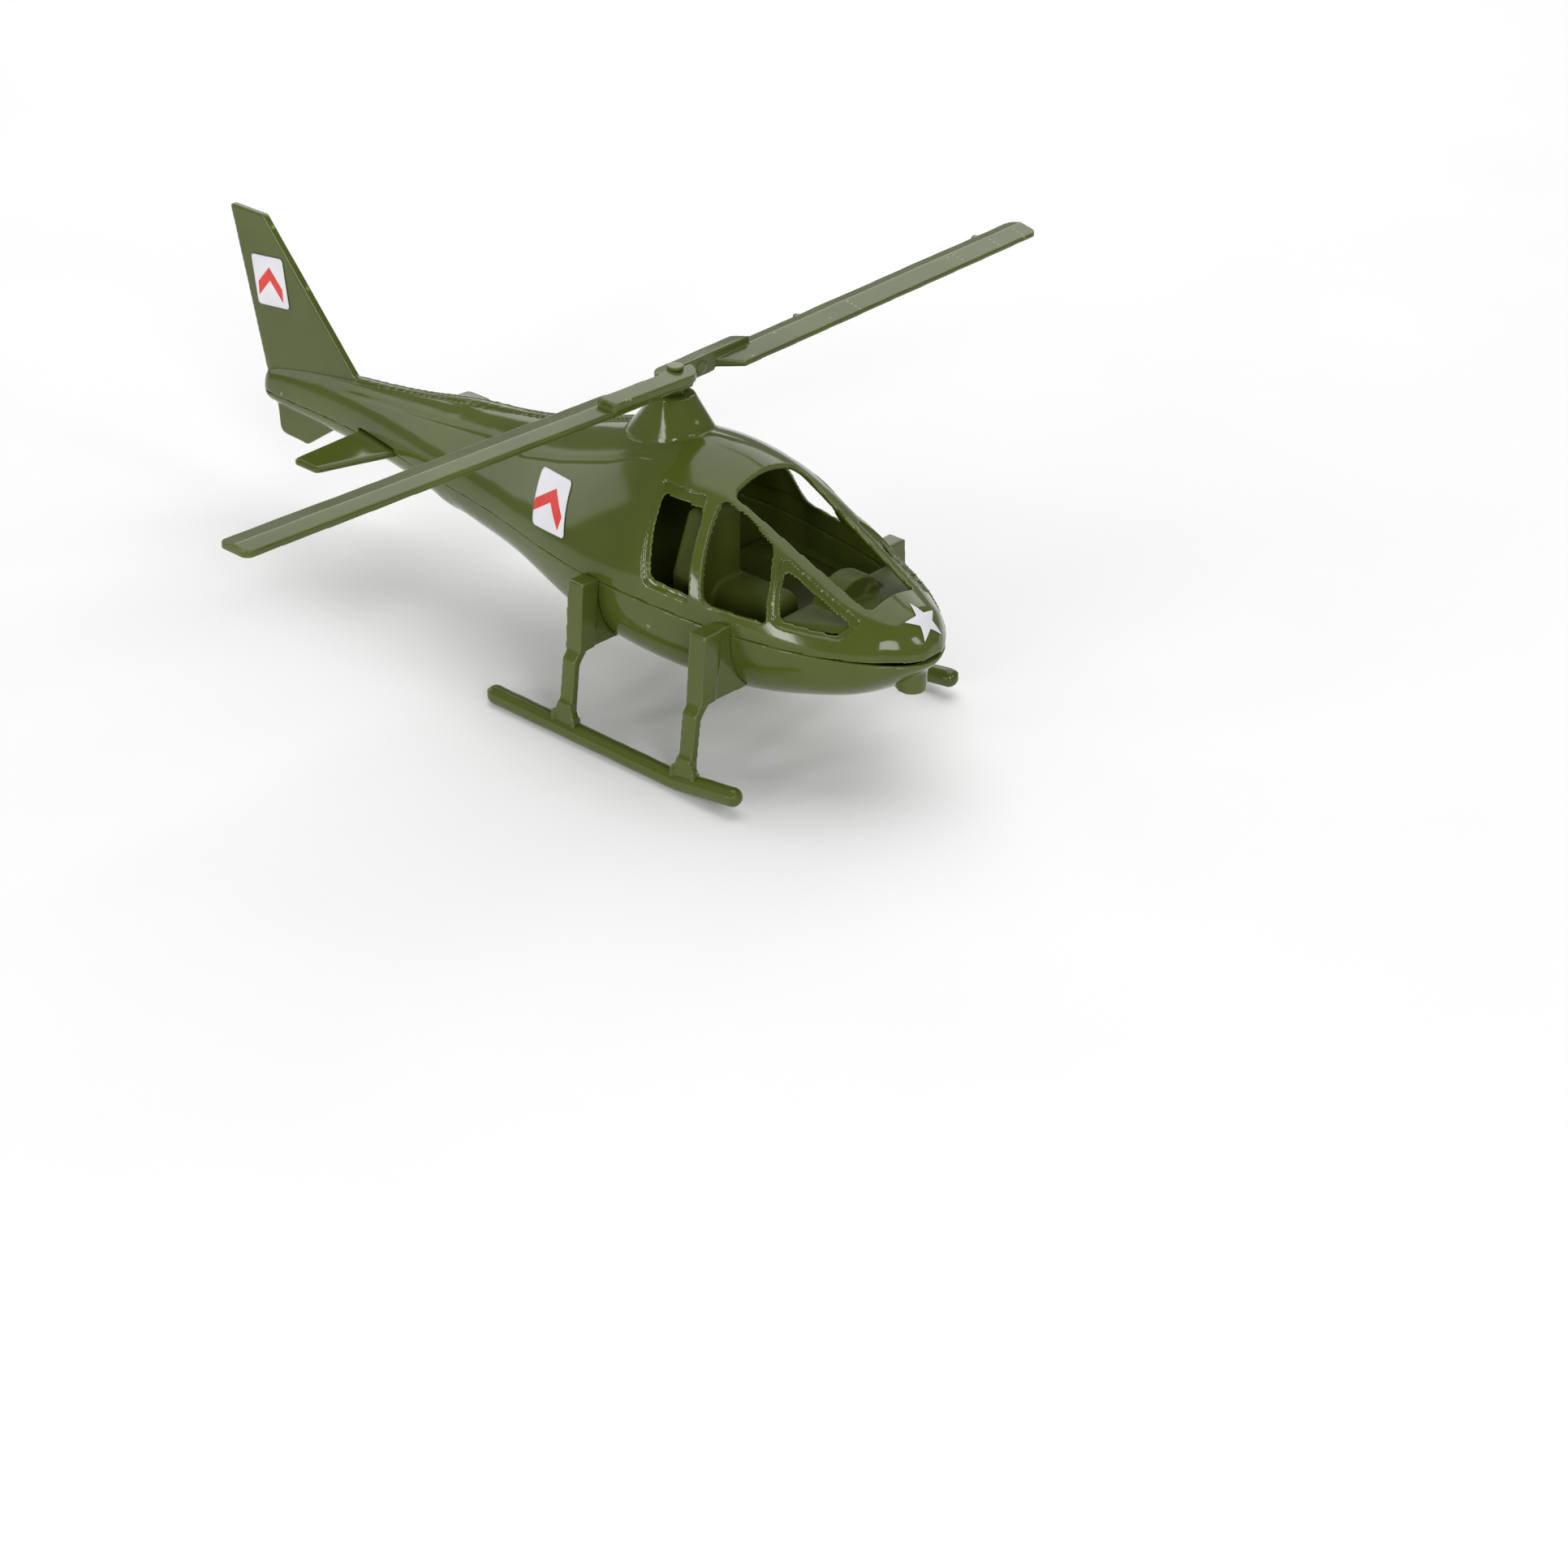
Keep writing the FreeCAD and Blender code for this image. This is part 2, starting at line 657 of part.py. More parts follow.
# ---------------------------------------------------------------- shells
def make_shells():
    outer = feature("hull_outer", hull(0.0))
    inner = feature("hull_inner", hull(-dim("wall")))
    gap = dim("seam_gap") / 2
    above = feature("above_seam", side_region(False, lambda x: gap).fuse(peg_room()))
    below = feature("below_seam", side_region(True, lambda x: slot_shift(x) - gap))
    strip = feature("spine_band", hull(dim("spine_height")))
    band = doc.addObject("Part::Box", "spine_box")
    bind(
        band,
        Length=f"-{cell('fin_foot_front_x')}",
        Width=f"2 * {cell('spine_half')}",
        Height="60",
        Placement__Base__x=cell("fin_foot_front_x"),
        Placement__Base__y=f"-{cell('spine_half')}",
        Placement__Base__z=cell("fin_root_z"),
    )
    spine = common("spine", [strip, band])
    fin = feature("fin", fin_plate())
    mast = mast_cone("mast_cone", 0.0)
    hollow = mast_cone("mast_hollow", dim("cone_wall"))
    pegs = []
    sockets = []
    for place in ("aft", "fore"):
        x = cell(f"peg_{place}_x")
        foot = f"{cell('shoulder_seam')} - {cell('peg_length')}"
        bore_r = f"{cell('peg_r')} + {cell('peg_clearance')}"
        peg = cylinder(f"peg_{place}", x, cell("peg_r"), foot, cell("cabin_aft_roof"))
        pegs.append(common(f"trimmed_peg_{place}", [peg, outer]))
        post = cylinder(f"post_{place}", x, cell("socket_r"), "20", f"{cell('boom_root_seam')} - 0.8")
        bore = cylinder(f"bore_{place}", x, bore_r, f"({foot}) - 0.6", "60")
        sockets.append(cut(f"socket_{place}", post, [bore]))
    hole_r = f"{cell('pin_r')} + {cell('pin_clearance')}"
    pin_hole = cylinder("pin_hole", "0", hole_r, cell("cone_base_z"), f"{cell('cone_top_z')} + 5")
    slot = tailplane_slot()

    skin = cut("upper_skin", fuse("upper_outer", [outer, mast, spine]), [inner, hollow])
    solid = fuse("upper_solid", [skin, fin] + pegs)
    open_shell = cut("upper_open", solid, [pin_hole, slot, windscreen_cutter()] + window_cutters())
    finish(common("upper_half", [open_shell, above]), "upper_shell")

    stub = cylinder(
        "nose_stub",
        cell("stub_x"),
        cell("stub_r"),
        cell("stub_bottom_z"),
        f"{cell('stub_bottom_z')} + {cell('stub_height')}",
    )
    ventral = feature("ventral_fin", ventral_plate())
    floor_skin = cut("lower_skin", outer, [inner])
    stub_skin = cut("stub_clip", stub, [feature("hull_inner_copy", hull(-dim("wall")))])
    trimmed_posts = [common(f"trimmed_{s.Name}", [s, outer]) for s in sockets]
    whole = fuse("lower_whole", [floor_skin, stub_skin, ventral] + trimmed_posts)
    finish(common("lower_half", [cut("lower_open", whole, [slot]), below]), "lower_shell")


# ---------------------------------------------------------------- tailplane
def make_tailplane():
    body = new_body("tailplane_body")
    span = cell("tailplane_half_span")
    rear_tip, front_tip = cell("tailplane_tip_rear_x"), cell("tailplane_tip_front_x")
    corners = (
        (cell("tailplane_root_rear_x"), "0"),
        (rear_tip, f"-{span}"),
        (front_tip, f"-{span}"),
        (cell("tailplane_root_front_x"), "0"),
        (front_tip, span),
        (rear_tip, span),
    )
    sketch = outline_sketch(body, "tailplane_outline", "XY_Plane", corners, cell("tailplane_bottom_z"))
    plate = pad(body, "tailplane_plate", sketch, cell("tailplane_thick"))
    doc.recompute()
    tip_y = dim("tailplane_half_span")
    upright = [
        name
        for name in edges_where(plate, lambda p: abs(abs(p.y) - tip_y) < 1e-3)
        if is_upright(plate, name)
    ]
    rounded = dress(body, "Fillet", "tailplane_tips", plate, upright, cell("tailplane_corner"))
    doc.recompute()
    top = dim("tailplane_bottom_z") + dim("tailplane_thick")
    root, tip = dim("tailplane_root_front_x"), dim("tailplane_tip_front_x")

    def on_leading_edge(p):
        line = root + (tip - root) * abs(p.y) / tip_y
        return abs(p.z - top) < 1e-3 and abs(p.x - line) < 1e-2

    leading = edges_where(rounded, on_leading_edge)
    dress(body, "Chamfer", "tailplane_leading_bevel", rounded, leading, cell("tailplane_bevel"))
    finish(body, "tailplane")


def is_upright(obj, name):
    edge = obj.Shape.getElement(name)
    ends = [vertex.Point for vertex in edge.Vertexes]
    return len(ends) == 2 and math.hypot(ends[0].x - ends[1].x, ends[0].y - ends[1].y) < 1e-6


# ---------------------------------------------------------------- landing gear
def make_skid(side, node):
    """A round skid, bent up at the front, with ball ends and a narrow flat to stand on."""
    radius, y = cell("skid_r"), f"{side} * {cell('skid_y')}"
    spots = (
        ("rear", cell("skid_rear_x"), cell("skid_z")),
        ("bend", cell("skid_bend_x"), cell("skid_z")),
        ("front", cell("skid_front_x"), cell("skid_front_z")),
    )
    balls = []
    for name, x, z in spots:
        ball = doc.addObject("Part::Sphere", f"{node}_{name}")
        bind(ball, Radius=radius, Placement__Base__x=x, Placement__Base__y=y, Placement__Base__z=z)
        balls.append(ball)
    tubes = []
    for (name, x_0, z_0), (_, x_1, z_1) in zip(spots, spots[1:]):
        tube = doc.addObject("Part::Cylinder", f"{node}_tube_{name}")
        rise = math.degrees(math.atan2(evaluate(z_1) - evaluate(z_0), evaluate(x_1) - evaluate(x_0)))
        tube.Placement = Placement(Vector(), Rotation(Vector(0, 1, 0), 90 - rise))
        length = f"sqrt((({x_1}) - ({x_0})) ^ 2 + (({z_1}) - ({z_0})) ^ 2)"
        bind(
            tube,
            Radius=radius,
            Height=length,
            Placement__Base__x=x_0,
            Placement__Base__y=y,
            Placement__Base__z=z_0,
        )
        tubes.append(tube)
    ground = doc.addObject("Part::Box", f"{node}_ground")
    bind(ground, Length="200", Width="200", Height="20")
    ground.Placement.Base = Vector(-100, -100, -20)
    whole = fuse(f"{node}_whole", balls + tubes)
    finish(cut(node, whole, [ground]), node)
    return whole


def make_leg(side, end, hull_shape, skid, node):
    """A leg with its web, shaped to the fuselage side, stepping out to a saddle on the skid."""
    x = cell(f"leg_{end}_x")
    top, step = cell("leg_top_z"), cell("leg_step_z")

    def across(length):
        return f"{side} * ({length})"

    body = new_body(f"{node}_body")
    profile = (
        (cell("leg_top_y"), top),
        (cell("leg_block_low_y"), step),
        (cell("leg_step_y"), cell("leg_step_low_z")),
        (cell("leg_foot_y"), cell("leg_foot_z")),
        (cell("leg_inner_foot_y"), cell("leg_foot_z")),
        (cell("leg_inner_step_y"), cell("leg_inner_step_z")),
        (cell("web_bend_y"), cell("web_z")),
        (cell("web_end_y"), cell("web_end_z")),
        (cell("web_end_y"), top),
    )
    corners = [(across(y), z) for y, z in profile]
    sketch = outline_sketch(body, f"{node}_outline", "YZ_Plane", corners, x)
    arm = pad(body, f"{node}_arm", sketch, f"2 * {cell('leg_strip_half')}", both=True)
    doc.recompute()
    upper_bend = (side * dim("leg_inner_step_y"), dim("leg_inner_step_z"))
    lower_bend = (side * dim("web_bend_y"), dim("web_z"))
    bends = [upper_bend, lower_bend]
    inner = edges_where(arm, lambda p: any(math.hypot(p.y - y, p.z - z) < 1e-3 for y, z in bends))
    dress(body, "Fillet", f"{node}_bend", arm, inner, cell("leg_bend_r"))
    block = (
        (cell("leg_top_y"), top),
        (cell("leg_block_low_y"), step),
        (cell("leg_block_inner_low_y"), step),
        (cell("leg_block_inner_y"), top),
    )
    sketch = outline_sketch(body, f"{node}_block_outline", "YZ_Plane", [(across(y), z) for y, z in block], x)
    pad(body, f"{node}_block", sketch, f"2 * {cell('leg_block_half')}", both=True)
    inside = f"{cell('skid_y')} - {cell('leg_saddle_y')}"
    outside = f"{cell('skid_y')} + {cell('leg_saddle_y')}"
    saddle = (
        (outside, cell("skid_z")),
        (f"{outside} - 0.6", cell("leg_saddle_top_z")),
        (f"{inside} + 0.4", cell("leg_saddle_top_z")),
        (inside, cell("skid_z")),
    )
    corners = [(across(y), z) for y, z in saddle]
    sketch = outline_sketch(body, f"{node}_saddle_outline", "YZ_Plane", corners, x)
    pad(body, f"{node}_saddle", sketch, f"2 * {cell('leg_saddle_half')}", both=True)
    doc.recompute()
    finish(cut(f"{node}_trimmed", body, [hull_shape, skid]), node)


def make_landing_gear():
    hull_shape = feature("hull_for_legs", hull(0.0))
    for side, word in ((-1, "right"), (1, "left")):
        skid = make_skid(side, f"skid_{word}")
        for end in ("front", "rear"):
            make_leg(side, end, hull_shape, skid, f"leg_{end}_{word}")


# ---------------------------------------------------------------- cabin
def make_floor():
    """The cabin floor, a thin plate cut to the inside of the lower shell."""
    inside = feature("hull_for_floor", hull(-dim("wall") - dim("floor_gap")))
    slab = doc.addObject("Part::Box", "floor_slab")
    bind(
        slab,
        Length=f"{cell('floor_front_x')} - {cell('floor_rear_x')}",
        Width="80",
        Height=cell("floor_thick"),
        Placement__Base__x=cell("floor_rear_x"),
        Placement__Base__y="-40",
        Placement__Base__z=f"{cell('floor_top_z')} - {cell('floor_thick')}",
    )
    finish(common("floor_plate", [slab, inside]), "cabin_floor")


def make_seat(node):
    """The single seat, on the starboard side: a thick back as wide as the door, and a narrow domed cushion."""
    body = new_body(f"{node}_body")
    inner, outer = f"-{cell('seat_inner_y')}", f"-{cell('seat_outer_y')}"
    top_outer = f"-{cell('seat_back_top_outer_y')}"
    floor, top = cell("floor_top_z"), cell("seat_back_top_z")
    back_face = [(inner, floor), (outer, floor), (outer, f"{floor} + 12"), (top_outer, top), (inner, top)]
    offset = cell("seat_rear_x")
    sketch = outline_sketch(body, f"{node}_back_outline", "YZ_Plane", back_face, offset)
    pad(body, f"{node}_back", sketch, cell("seat_back_thick"))
    low, high = cell("cushion_inner_y"), cell("cushion_outer_y")
    cushion_top = cell("seat_cushion_top_z")
    cushion = [(f"-{low}", floor), (f"-{high}", floor), (f"-{high}", cushion_top), (f"-{low}", cushion_top)]
    sketch = outline_sketch(body, f"{node}_cushion_outline", "YZ_Plane", cushion, offset)
    seat = pad(body, f"{node}_cushion", sketch, f"{cell('seat_cushion_front_x')} - {offset}")
    doc.recompute()
    front, back_top = dim("seat_cushion_front_x"), dim("seat_back_top_z")
    seat_low, cushion_z = dim("floor_top_z") + 0.1, dim("seat_cushion_top_z")

    def on_back_top(p):
        return abs(p.z - back_top) < 1e-3

    def on_cushion(p):
        raised = abs(p.x - front) < 1e-3 or abs(p.z - cushion_z) < 1e-3
        return raised and p.z > seat_low and p.x > dim("seat_rear_x") + dim("seat_back_thick") - 1e-3

    edges = edges_where(seat, on_back_top)
    seat = dress(body, "Fillet", f"{node}_back_round", seat, edges, cell("seat_round"))
    doc.recompute()
    edges = [name for name in edges_where(seat, on_cushion) if not along_back(seat, name)]
    dress(body, "Fillet", f"{node}_cushion_round", seat, edges, cell("cushion_round"))
    finish(body, node)


def along_back(obj, name):
    """Whether an edge runs across the toy where the cushion meets the seat's back."""
    edge = obj.Shape.getElement(name)
    back_x = dim("seat_rear_x") + dim("seat_back_thick")
    return all(abs(vertex.Point.x - back_x) < 1e-3 for vertex in edge.Vertexes)


def make_console():
    """The instrument hood between the seats and the windscreen: an arch with a raised oval on its front."""
    hood = doc.addObject("Part::Cylinder", "console_arch")
    centre_z = f"{cell('console_top_z')} - {cell('console_r')}"
    hood.Placement = Placement(Vector(), Rotation(Vector(0, 1, 0), 90))
    bind(
        hood,
        Radius=cell("console_r"),
        Height=cell("console_length"),
        Placement__Base__x=cell("console_rear_x"),
        Placement__Base__z=centre_z,
    )
    legs = doc.addObject("Part::Box", "console_sides")
    bind(
        legs,
        Length=cell("console_length"),
        Width=f"2 * {cell('console_r')}",
        Height=f"{centre_z} - {cell('floor_top_z')}",
        Placement__Base__x=cell("console_rear_x"),
        Placement__Base__y=f"-{cell('console_r')}",
        Placement__Base__z=cell("floor_top_z"),
    )
    below = doc.addObject("Part::Box", "console_below")
    bind(below, Length="100", Width="100", Height="40", Placement__Base__z=f"{cell('floor_top_z')} - 40")
    below.Placement.Base = Vector(0, -50, 0)
    below.setExpression("Placement.Base.z", f"{cell('floor_top_z')} - 40")
    bump = doc.addObject("Part::Cylinder", "console_bump")
    bump.Placement = Placement(Vector(), Rotation(Vector(0, 1, 0), 90))
    bind(
        bump,
        Radius=cell("console_bump_r"),
        Height=f"{cell('console_length')} + {cell('console_bump_height')}",
        Placement__Base__x=cell("console_rear_x"),
        Placement__Base__y=cell("console_bump_y"),
        Placement__Base__z=cell("console_bump_z"),
    )
    deck = doc.addObject("Part::Box", "console_deck_box")
    bind(
        deck,
        Length=f"{cell('deck_front_x')} - {cell('console_rear_x')}",
        Width="60",
        Height=cell("deck_thick"),
        Placement__Base__x=cell("console_rear_x"),
        Placement__Base__y="-30",
        Placement__Base__z=f"{cell('deck_top_z')} - {cell('deck_thick')}",
    )
    inside = feature("hull_for_deck", hull(-dim("wall") - dim("floor_gap")))
    whole = fuse("console_whole", [hood, legs, bump, common("console_deck", [deck, inside])])
    finish(cut("console", whole, [below]), "instrument_console")


# ---------------------------------------------------------------- rotor
def make_blade(turn, node):
    """One rotor moulding: a bar and a deeper plate on one side of the mast plane, and a roof-shaped blade."""
    body = new_body(f"{node}_body")
    gap, width, thick = cell("bar_joint_gap"), cell("bar_width"), cell("plate_width")
    inner_end, outer_end = cell("bar_inner_end"), cell("bar_end_y")
    low, bottom = cell("bar_low_z"), cell("plate_bottom_z")

    def side_corner(x, y):
        return lambda p: abs(p.x - x) < 1e-3 and abs(p.y - y) < 1e-3

    plate_end = f"-{cell('plate_end_y')}"
    deep = ((gap, plate_end), (thick, plate_end), (thick, inner_end), (gap, inner_end))
    sketch = outline_sketch(body, f"{node}_plate_outline", "XY_Plane", deep, bottom)
    plate = pad(body, f"{node}_plate", sketch, f"{low} - {bottom}")
    doc.recompute()
    inner = edges_where(plate, side_corner(dim("plate_width"), dim("bar_inner_end")))
    dress(body, "Fillet", f"{node}_plate_end", plate, inner, f"{thick} - 0.4")

    section = ((gap, low), (width, low), (width, cell("bar_edge_z")), (gap, cell("bar_ridge_z")))
    sketch = outline_sketch(body, f"{node}_bar_section", "XZ_Plane", section, f"-{inner_end}")
    pad(body, f"{node}_bar", sketch, f"{outer_end} + {inner_end}")
    slant = f"-({outer_end} - {cell('bar_end_slant')})"
    beyond, past_end = f"{width} + 1", f"-{outer_end} - 1"
    corner = ((gap, f"-{outer_end}"), (width, slant), (beyond, slant), (beyond, past_end), (gap, past_end))
    sketch = outline_sketch(body, f"{node}_end_slant", "XY_Plane", corner, "90")
    bar = pocket(body, f"{node}_end", sketch, "20")
    doc.recompute()

    inner = edges_where(bar, side_corner(dim("bar_width"), dim("bar_inner_end")))
    bar = dress(body, "Fillet", f"{node}_round_end", bar, inner, f"{width} - 0.3")
    doc.recompute()
    outer = edges_where(bar, side_corner(dim("bar_width"), dim("bar_end_slant") - dim("bar_end_y")))
    dress(body, "Fillet", f"{node}_outer_corner", bar, outer, cell("bar_corner"))

    section = (
        (f"-{cell('blade_rear')}", cell("blade_bottom_z")),
        (cell("blade_front"), cell("blade_bottom_z")),
        (cell("blade_front"), cell("blade_front_z")),
        (cell("blade_ridge"), cell("blade_ridge_z")),
        (f"-{cell('blade_rear')}", cell("blade_rear_z")),
    )
    sketch = outline_sketch(body, f"{node}_blade_section", "XZ_Plane", section, cell("plate_end_y"))
    pad(body, f"{node}_blade", sketch, f"{cell('rotor_radius')} - {cell('plate_end_y')}")
    beyond = f"-{cell('blade_rear')} - 1"
    notch = (
        (gap, f"1 - {cell('plate_end_y')}"),
        (gap, f"-{cell('plate_end_y')}"),
        (beyond, f"-{cell('blade_root_slant_y')} - 1"),
        (beyond, f"1 - {cell('plate_end_y')}"),
    )
    sketch = outline_sketch(body, f"{node}_root_notch", "XY_Plane", notch, "90")
    pocket(body, f"{node}_root", sketch, "20")
    boss_low = cell("hub_boss_bottom_z")
    boss = circle_sketch(body, f"{node}_boss_circle", "XY_Plane", ("0", "0"), cell("hub_boss_r"), boss_low)
    pad(body, f"{node}_boss", boss, f"{bottom} - {boss_low}")
    clip = (("-20", "-9"), (gap, "-9"), (gap, "9"), ("-20", "9"))
    sketch = outline_sketch(body, f"{node}_boss_half", "XY_Plane", clip, "90")
    pocket(body, f"{node}_half", sketch, "20")
    mark = (f"-{cell('ejector_y')}", cell("ejector_z"))
    disc = circle_sketch(body, f"{node}_ejector_circle", "YZ_Plane", mark, cell("ejector_r"), gap)
    whole = pad(body, f"{node}_ejector", disc, cell("ejector_height"), back=True)
    doc.recompute()
    tip_y = dim("rotor_radius")
    tips = [
        name for name in edges_where(whole, lambda p: abs(p.y + tip_y) < 1e-3) if is_upright(whole, name)
    ]
    dress(body, "Fillet", f"{node}_tip", whole, tips, cell("blade_tip_corner"))
    raised = Rotation(Vector(1, 0, 0), -dim("coning"))
    body.Placement = Placement(Vector(), raised, Vector(0, 0, dim("coning_z")))
    bore = cylinder(f"{node}_bore", "0", cell("pin_r"), boss_low + " - 2", "90")
    finish(cut(f"{node}_bored", body, [bore]), node, turn)


def make_pin():
    """The disc-headed pin that the rotor turns on, and the cap pressed on its end inside the cone."""
    head_low = cell("pin_head_bottom_z")
    shank = cylinder("pin_shank", "0", cell("pin_r"), cell("pin_end_z"), head_low)
    head = cylinder("pin_head", "0", cell("pin_head_r"), head_low, f"{head_low} + {cell('pin_head_height')}")
    finish(fuse("pin_whole", [shank, head]), "rotor_pin")
    low = f"{cell('retainer_top_z')} - {cell('retainer_thick')}"
    disc = cylinder("retainer_disc", "0", cell("retainer_r"), low, cell("retainer_top_z"))
    bore = cylinder("retainer_bore", "0", cell("pin_r"), f"{low} - 1", f"{cell('retainer_top_z')} + 1")
    finish(cut("retainer", disc, [bore]), "pin_retainer")


# ---------------------------------------------------------------- stickers
def sheared(x, z, width, height, shear, rise):
    """A rectangle about a centre: its upright sides lean by shear and its long sides climb by rise."""
    outline = []
    for across, up in ((-0.5, -0.5), (0.5, -0.5), (0.5, 0.5), (-0.5, 0.5)):
        level = z + up * height + rise * across * width
        outline.append((x + across * width + shear * up * height, level))
    return outline


def make_stickers():
    lift, top = dim("sticker_lift"), dim("sticker_lift") + dim("sticker_thick")
    skin = hull(top).cut(hull(lift))
    names = ("x", "z", "width", "height", "shear", "rise")
    fin_outline = sheared(*(dim(f"fin_sticker_{name}") for name in names))
    side_outline = sheared(*(dim(f"side_sticker_{name}") for name in names))
    start = dim("fin_half") + lift
    radii = [dim("sticker_corner")] * 4
    patches = []
    for raised in (0.0, dim("port_sticker_raised")):
        outer = [Vector(x, -5, z + raised) for x, z in side_outline]
        patches.append(prism(outer, Vector(0, -40, 0), radii).common(skin))
    mirror_base = Vector(0, dim("port_sticker_gap") / 2, 0)
    for side, word in ((-1, "right"), (1, "left")):
        across = Vector(0, side * dim("sticker_thick"), 0)
        points = [Vector(x, side * start, z) for x, z in fin_outline]
        finish(feature(f"fin_sticker_{side}", prism(points, across, radii)), f"fin_sticker_{word}")
        patch = patches[0] if side < 0 else patches[1].mirror(mirror_base, Vector(0, 1, 0))
        finish(feature(f"side_sticker_{side}", patch), f"side_sticker_{word}")
    tilt = Rotation(Vector(0, 1, 0), dim("star_tilt"))
    centre = Vector(dim("star_x"), dim("star_y"), dim("star_z"))
    points = []
    for number in range(2 * STAR_POINTS):
        radius = dim("star_r") * (STAR_WAIST if number % 2 else 1.0)
        angle = math.radians(dim("star_turn") + 180.0 * number / STAR_POINTS)
        flat = Vector(radius * math.cos(angle), radius * math.sin(angle), -dim("star_depth"))
        points.append(centre + tilt.multVec(flat))
    star = plain_prism(points, tilt.multVec(Vector(0, 0, 3 * dim("star_depth")))).common(skin)
    finish(feature("star", star), "nose_star_sticker")


def check_and_export():
    """Stops on any failed object or bad solid, then writes one STEP file for each piece."""
    doc.recompute()
    for obj in doc.Objects:
        bad = [state for state in obj.State if state in ("Invalid", "Error")]
        if bad:
            raise RuntimeError(f"{obj.Label}: {bad}")
    for obj in pieces:
        shape = obj.Shape
        if shape.isNull() or not shape.isValid() or not shape.Solids:
            raise RuntimeError(f"{obj.Label}: no valid solid")
    os.makedirs("parts", exist_ok=True)
    for obj in pieces:
        box = obj.Shape.BoundBox
        height = f"z {box.ZMin:.2f} to {box.ZMax:.2f}"
        print(f"{obj.Label}: {len(obj.Shape.Solids)} solid, {obj.Shape.Volume:.1f} mm3, {height}")
        obj.Shape.exportStep(os.path.join("parts", f"{obj.Label}.step"))


fill_sheet()
make_shells()
make_tailplane()
make_landing_gear()
make_floor()
make_seat("pilot_seat")
make_console()
make_blade(0.0, "rotor_blade_a")
make_blade(180.0, "rotor_blade_b")
make_pin()
make_stickers()
check_and_export()
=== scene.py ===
"""Toy helicopter: moulded plastic pieces, stickers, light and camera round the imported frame."""

import math

import bmesh
import bpy
import numpy as np
from mathutils import Matrix, Vector, noise
from mathutils.bvhtree import BVHTree


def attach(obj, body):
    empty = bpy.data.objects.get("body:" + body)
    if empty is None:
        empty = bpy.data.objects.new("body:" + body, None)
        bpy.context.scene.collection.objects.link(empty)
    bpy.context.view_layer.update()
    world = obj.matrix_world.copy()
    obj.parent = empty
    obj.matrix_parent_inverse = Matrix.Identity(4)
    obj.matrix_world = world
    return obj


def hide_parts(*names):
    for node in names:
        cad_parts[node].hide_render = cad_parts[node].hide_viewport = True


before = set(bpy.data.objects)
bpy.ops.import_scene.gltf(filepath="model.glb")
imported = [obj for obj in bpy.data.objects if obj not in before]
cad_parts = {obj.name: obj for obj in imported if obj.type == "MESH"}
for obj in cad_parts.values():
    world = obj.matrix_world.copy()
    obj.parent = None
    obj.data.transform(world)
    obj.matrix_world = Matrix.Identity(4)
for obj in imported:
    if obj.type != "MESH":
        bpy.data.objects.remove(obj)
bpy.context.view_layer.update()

MM = 0.001
MAST_X = 39.3  # the mast's distance ahead of the row's origin; lengths below are in mm from the mast

# The fuselage's frames, from tail to nose: station, half width, heights of the seam, roof and belly,
# and how square the upper and lower halves are.
FRAMES = np.array(
    (
        (-149.0, 2.6, 32.5, 38.9, 29.4, 2.0, 2.0),
        (-130.0, 4.2, 33.5, 42.6, 29.0, 2.0, 2.0),
        (-105.0, 7.1, 34.6, 46.1, 28.3, 1.95, 2.0),
        (-80.0, 11.9, 35.5, 49.9, 26.6, 1.85, 2.0),
        (-55.0, 17.0, 36.5, 53.8, 23.8, 1.75, 2.0),
        (-35.0, 21.8, 37.3, 57.6, 21.4, 1.62, 2.0),
        (-15.0, 27.0, 37.8, 63.6, 17.6, 1.55, 2.25),
        (5.0, 29.4, 37.8, 67.6, 15.0, 1.65, 2.45),
        (25.0, 28.2, 36.9, 65.2, 14.2, 1.8, 2.45),
        (42.0, 25.6, 36.0, 57.1, 15.6, 1.84, 2.35),
        (54.0, 22.0, 35.4, 51.2, 18.0, 1.82, 2.15),
        (63.0, 17.9, 34.9, 46.9, 20.8, 1.85, 2.05),
        (70.0, 13.3, 34.6, 44.1, 24.6, 1.95, 2.0),
        (75.0, 8.7, 34.4, 41.4, 28.6, 2.0, 2.0),
        (78.6, 3.0, 34.2, 37.2, 32.2, 2.0, 2.0),
    )
)
# A point nearer the frames' curve than SNAP_NEAR moves right onto it. One past SNAP_FAR stays put.
SNAP_NEAR, SNAP_FAR = 0.22, 0.55
SNAP_AFT, SNAP_FORE = -146.0, 74.0
BOOM_END_START, BOOM_END_LENGTH, BOOM_END_TOP, BOOM_END_MIDDLE = -145.6, 3.4, 42.0, 34.2

# The faint mould line along each side of the roof: station and height.
ROOF_LINE = (
    (-115, 42.4),
    (-86, 46.1),
    (-54, 50.6),
    (-38, 51.2),
    (-25, 54.4),
    (-9, 59.3),
    (0, 62.7),
    (9, 64.2),
)
ROOF_LINE_DEPTH, ROOF_LINE_WIDTH = 0.2, 0.5


# ---------------------------------------------------------------- places and curves
def row(x, y, z):
    """A point given in mm from the mast, in metres in the row frame."""
    return Vector(((x + MAST_X) * MM, y * MM, z * MM))


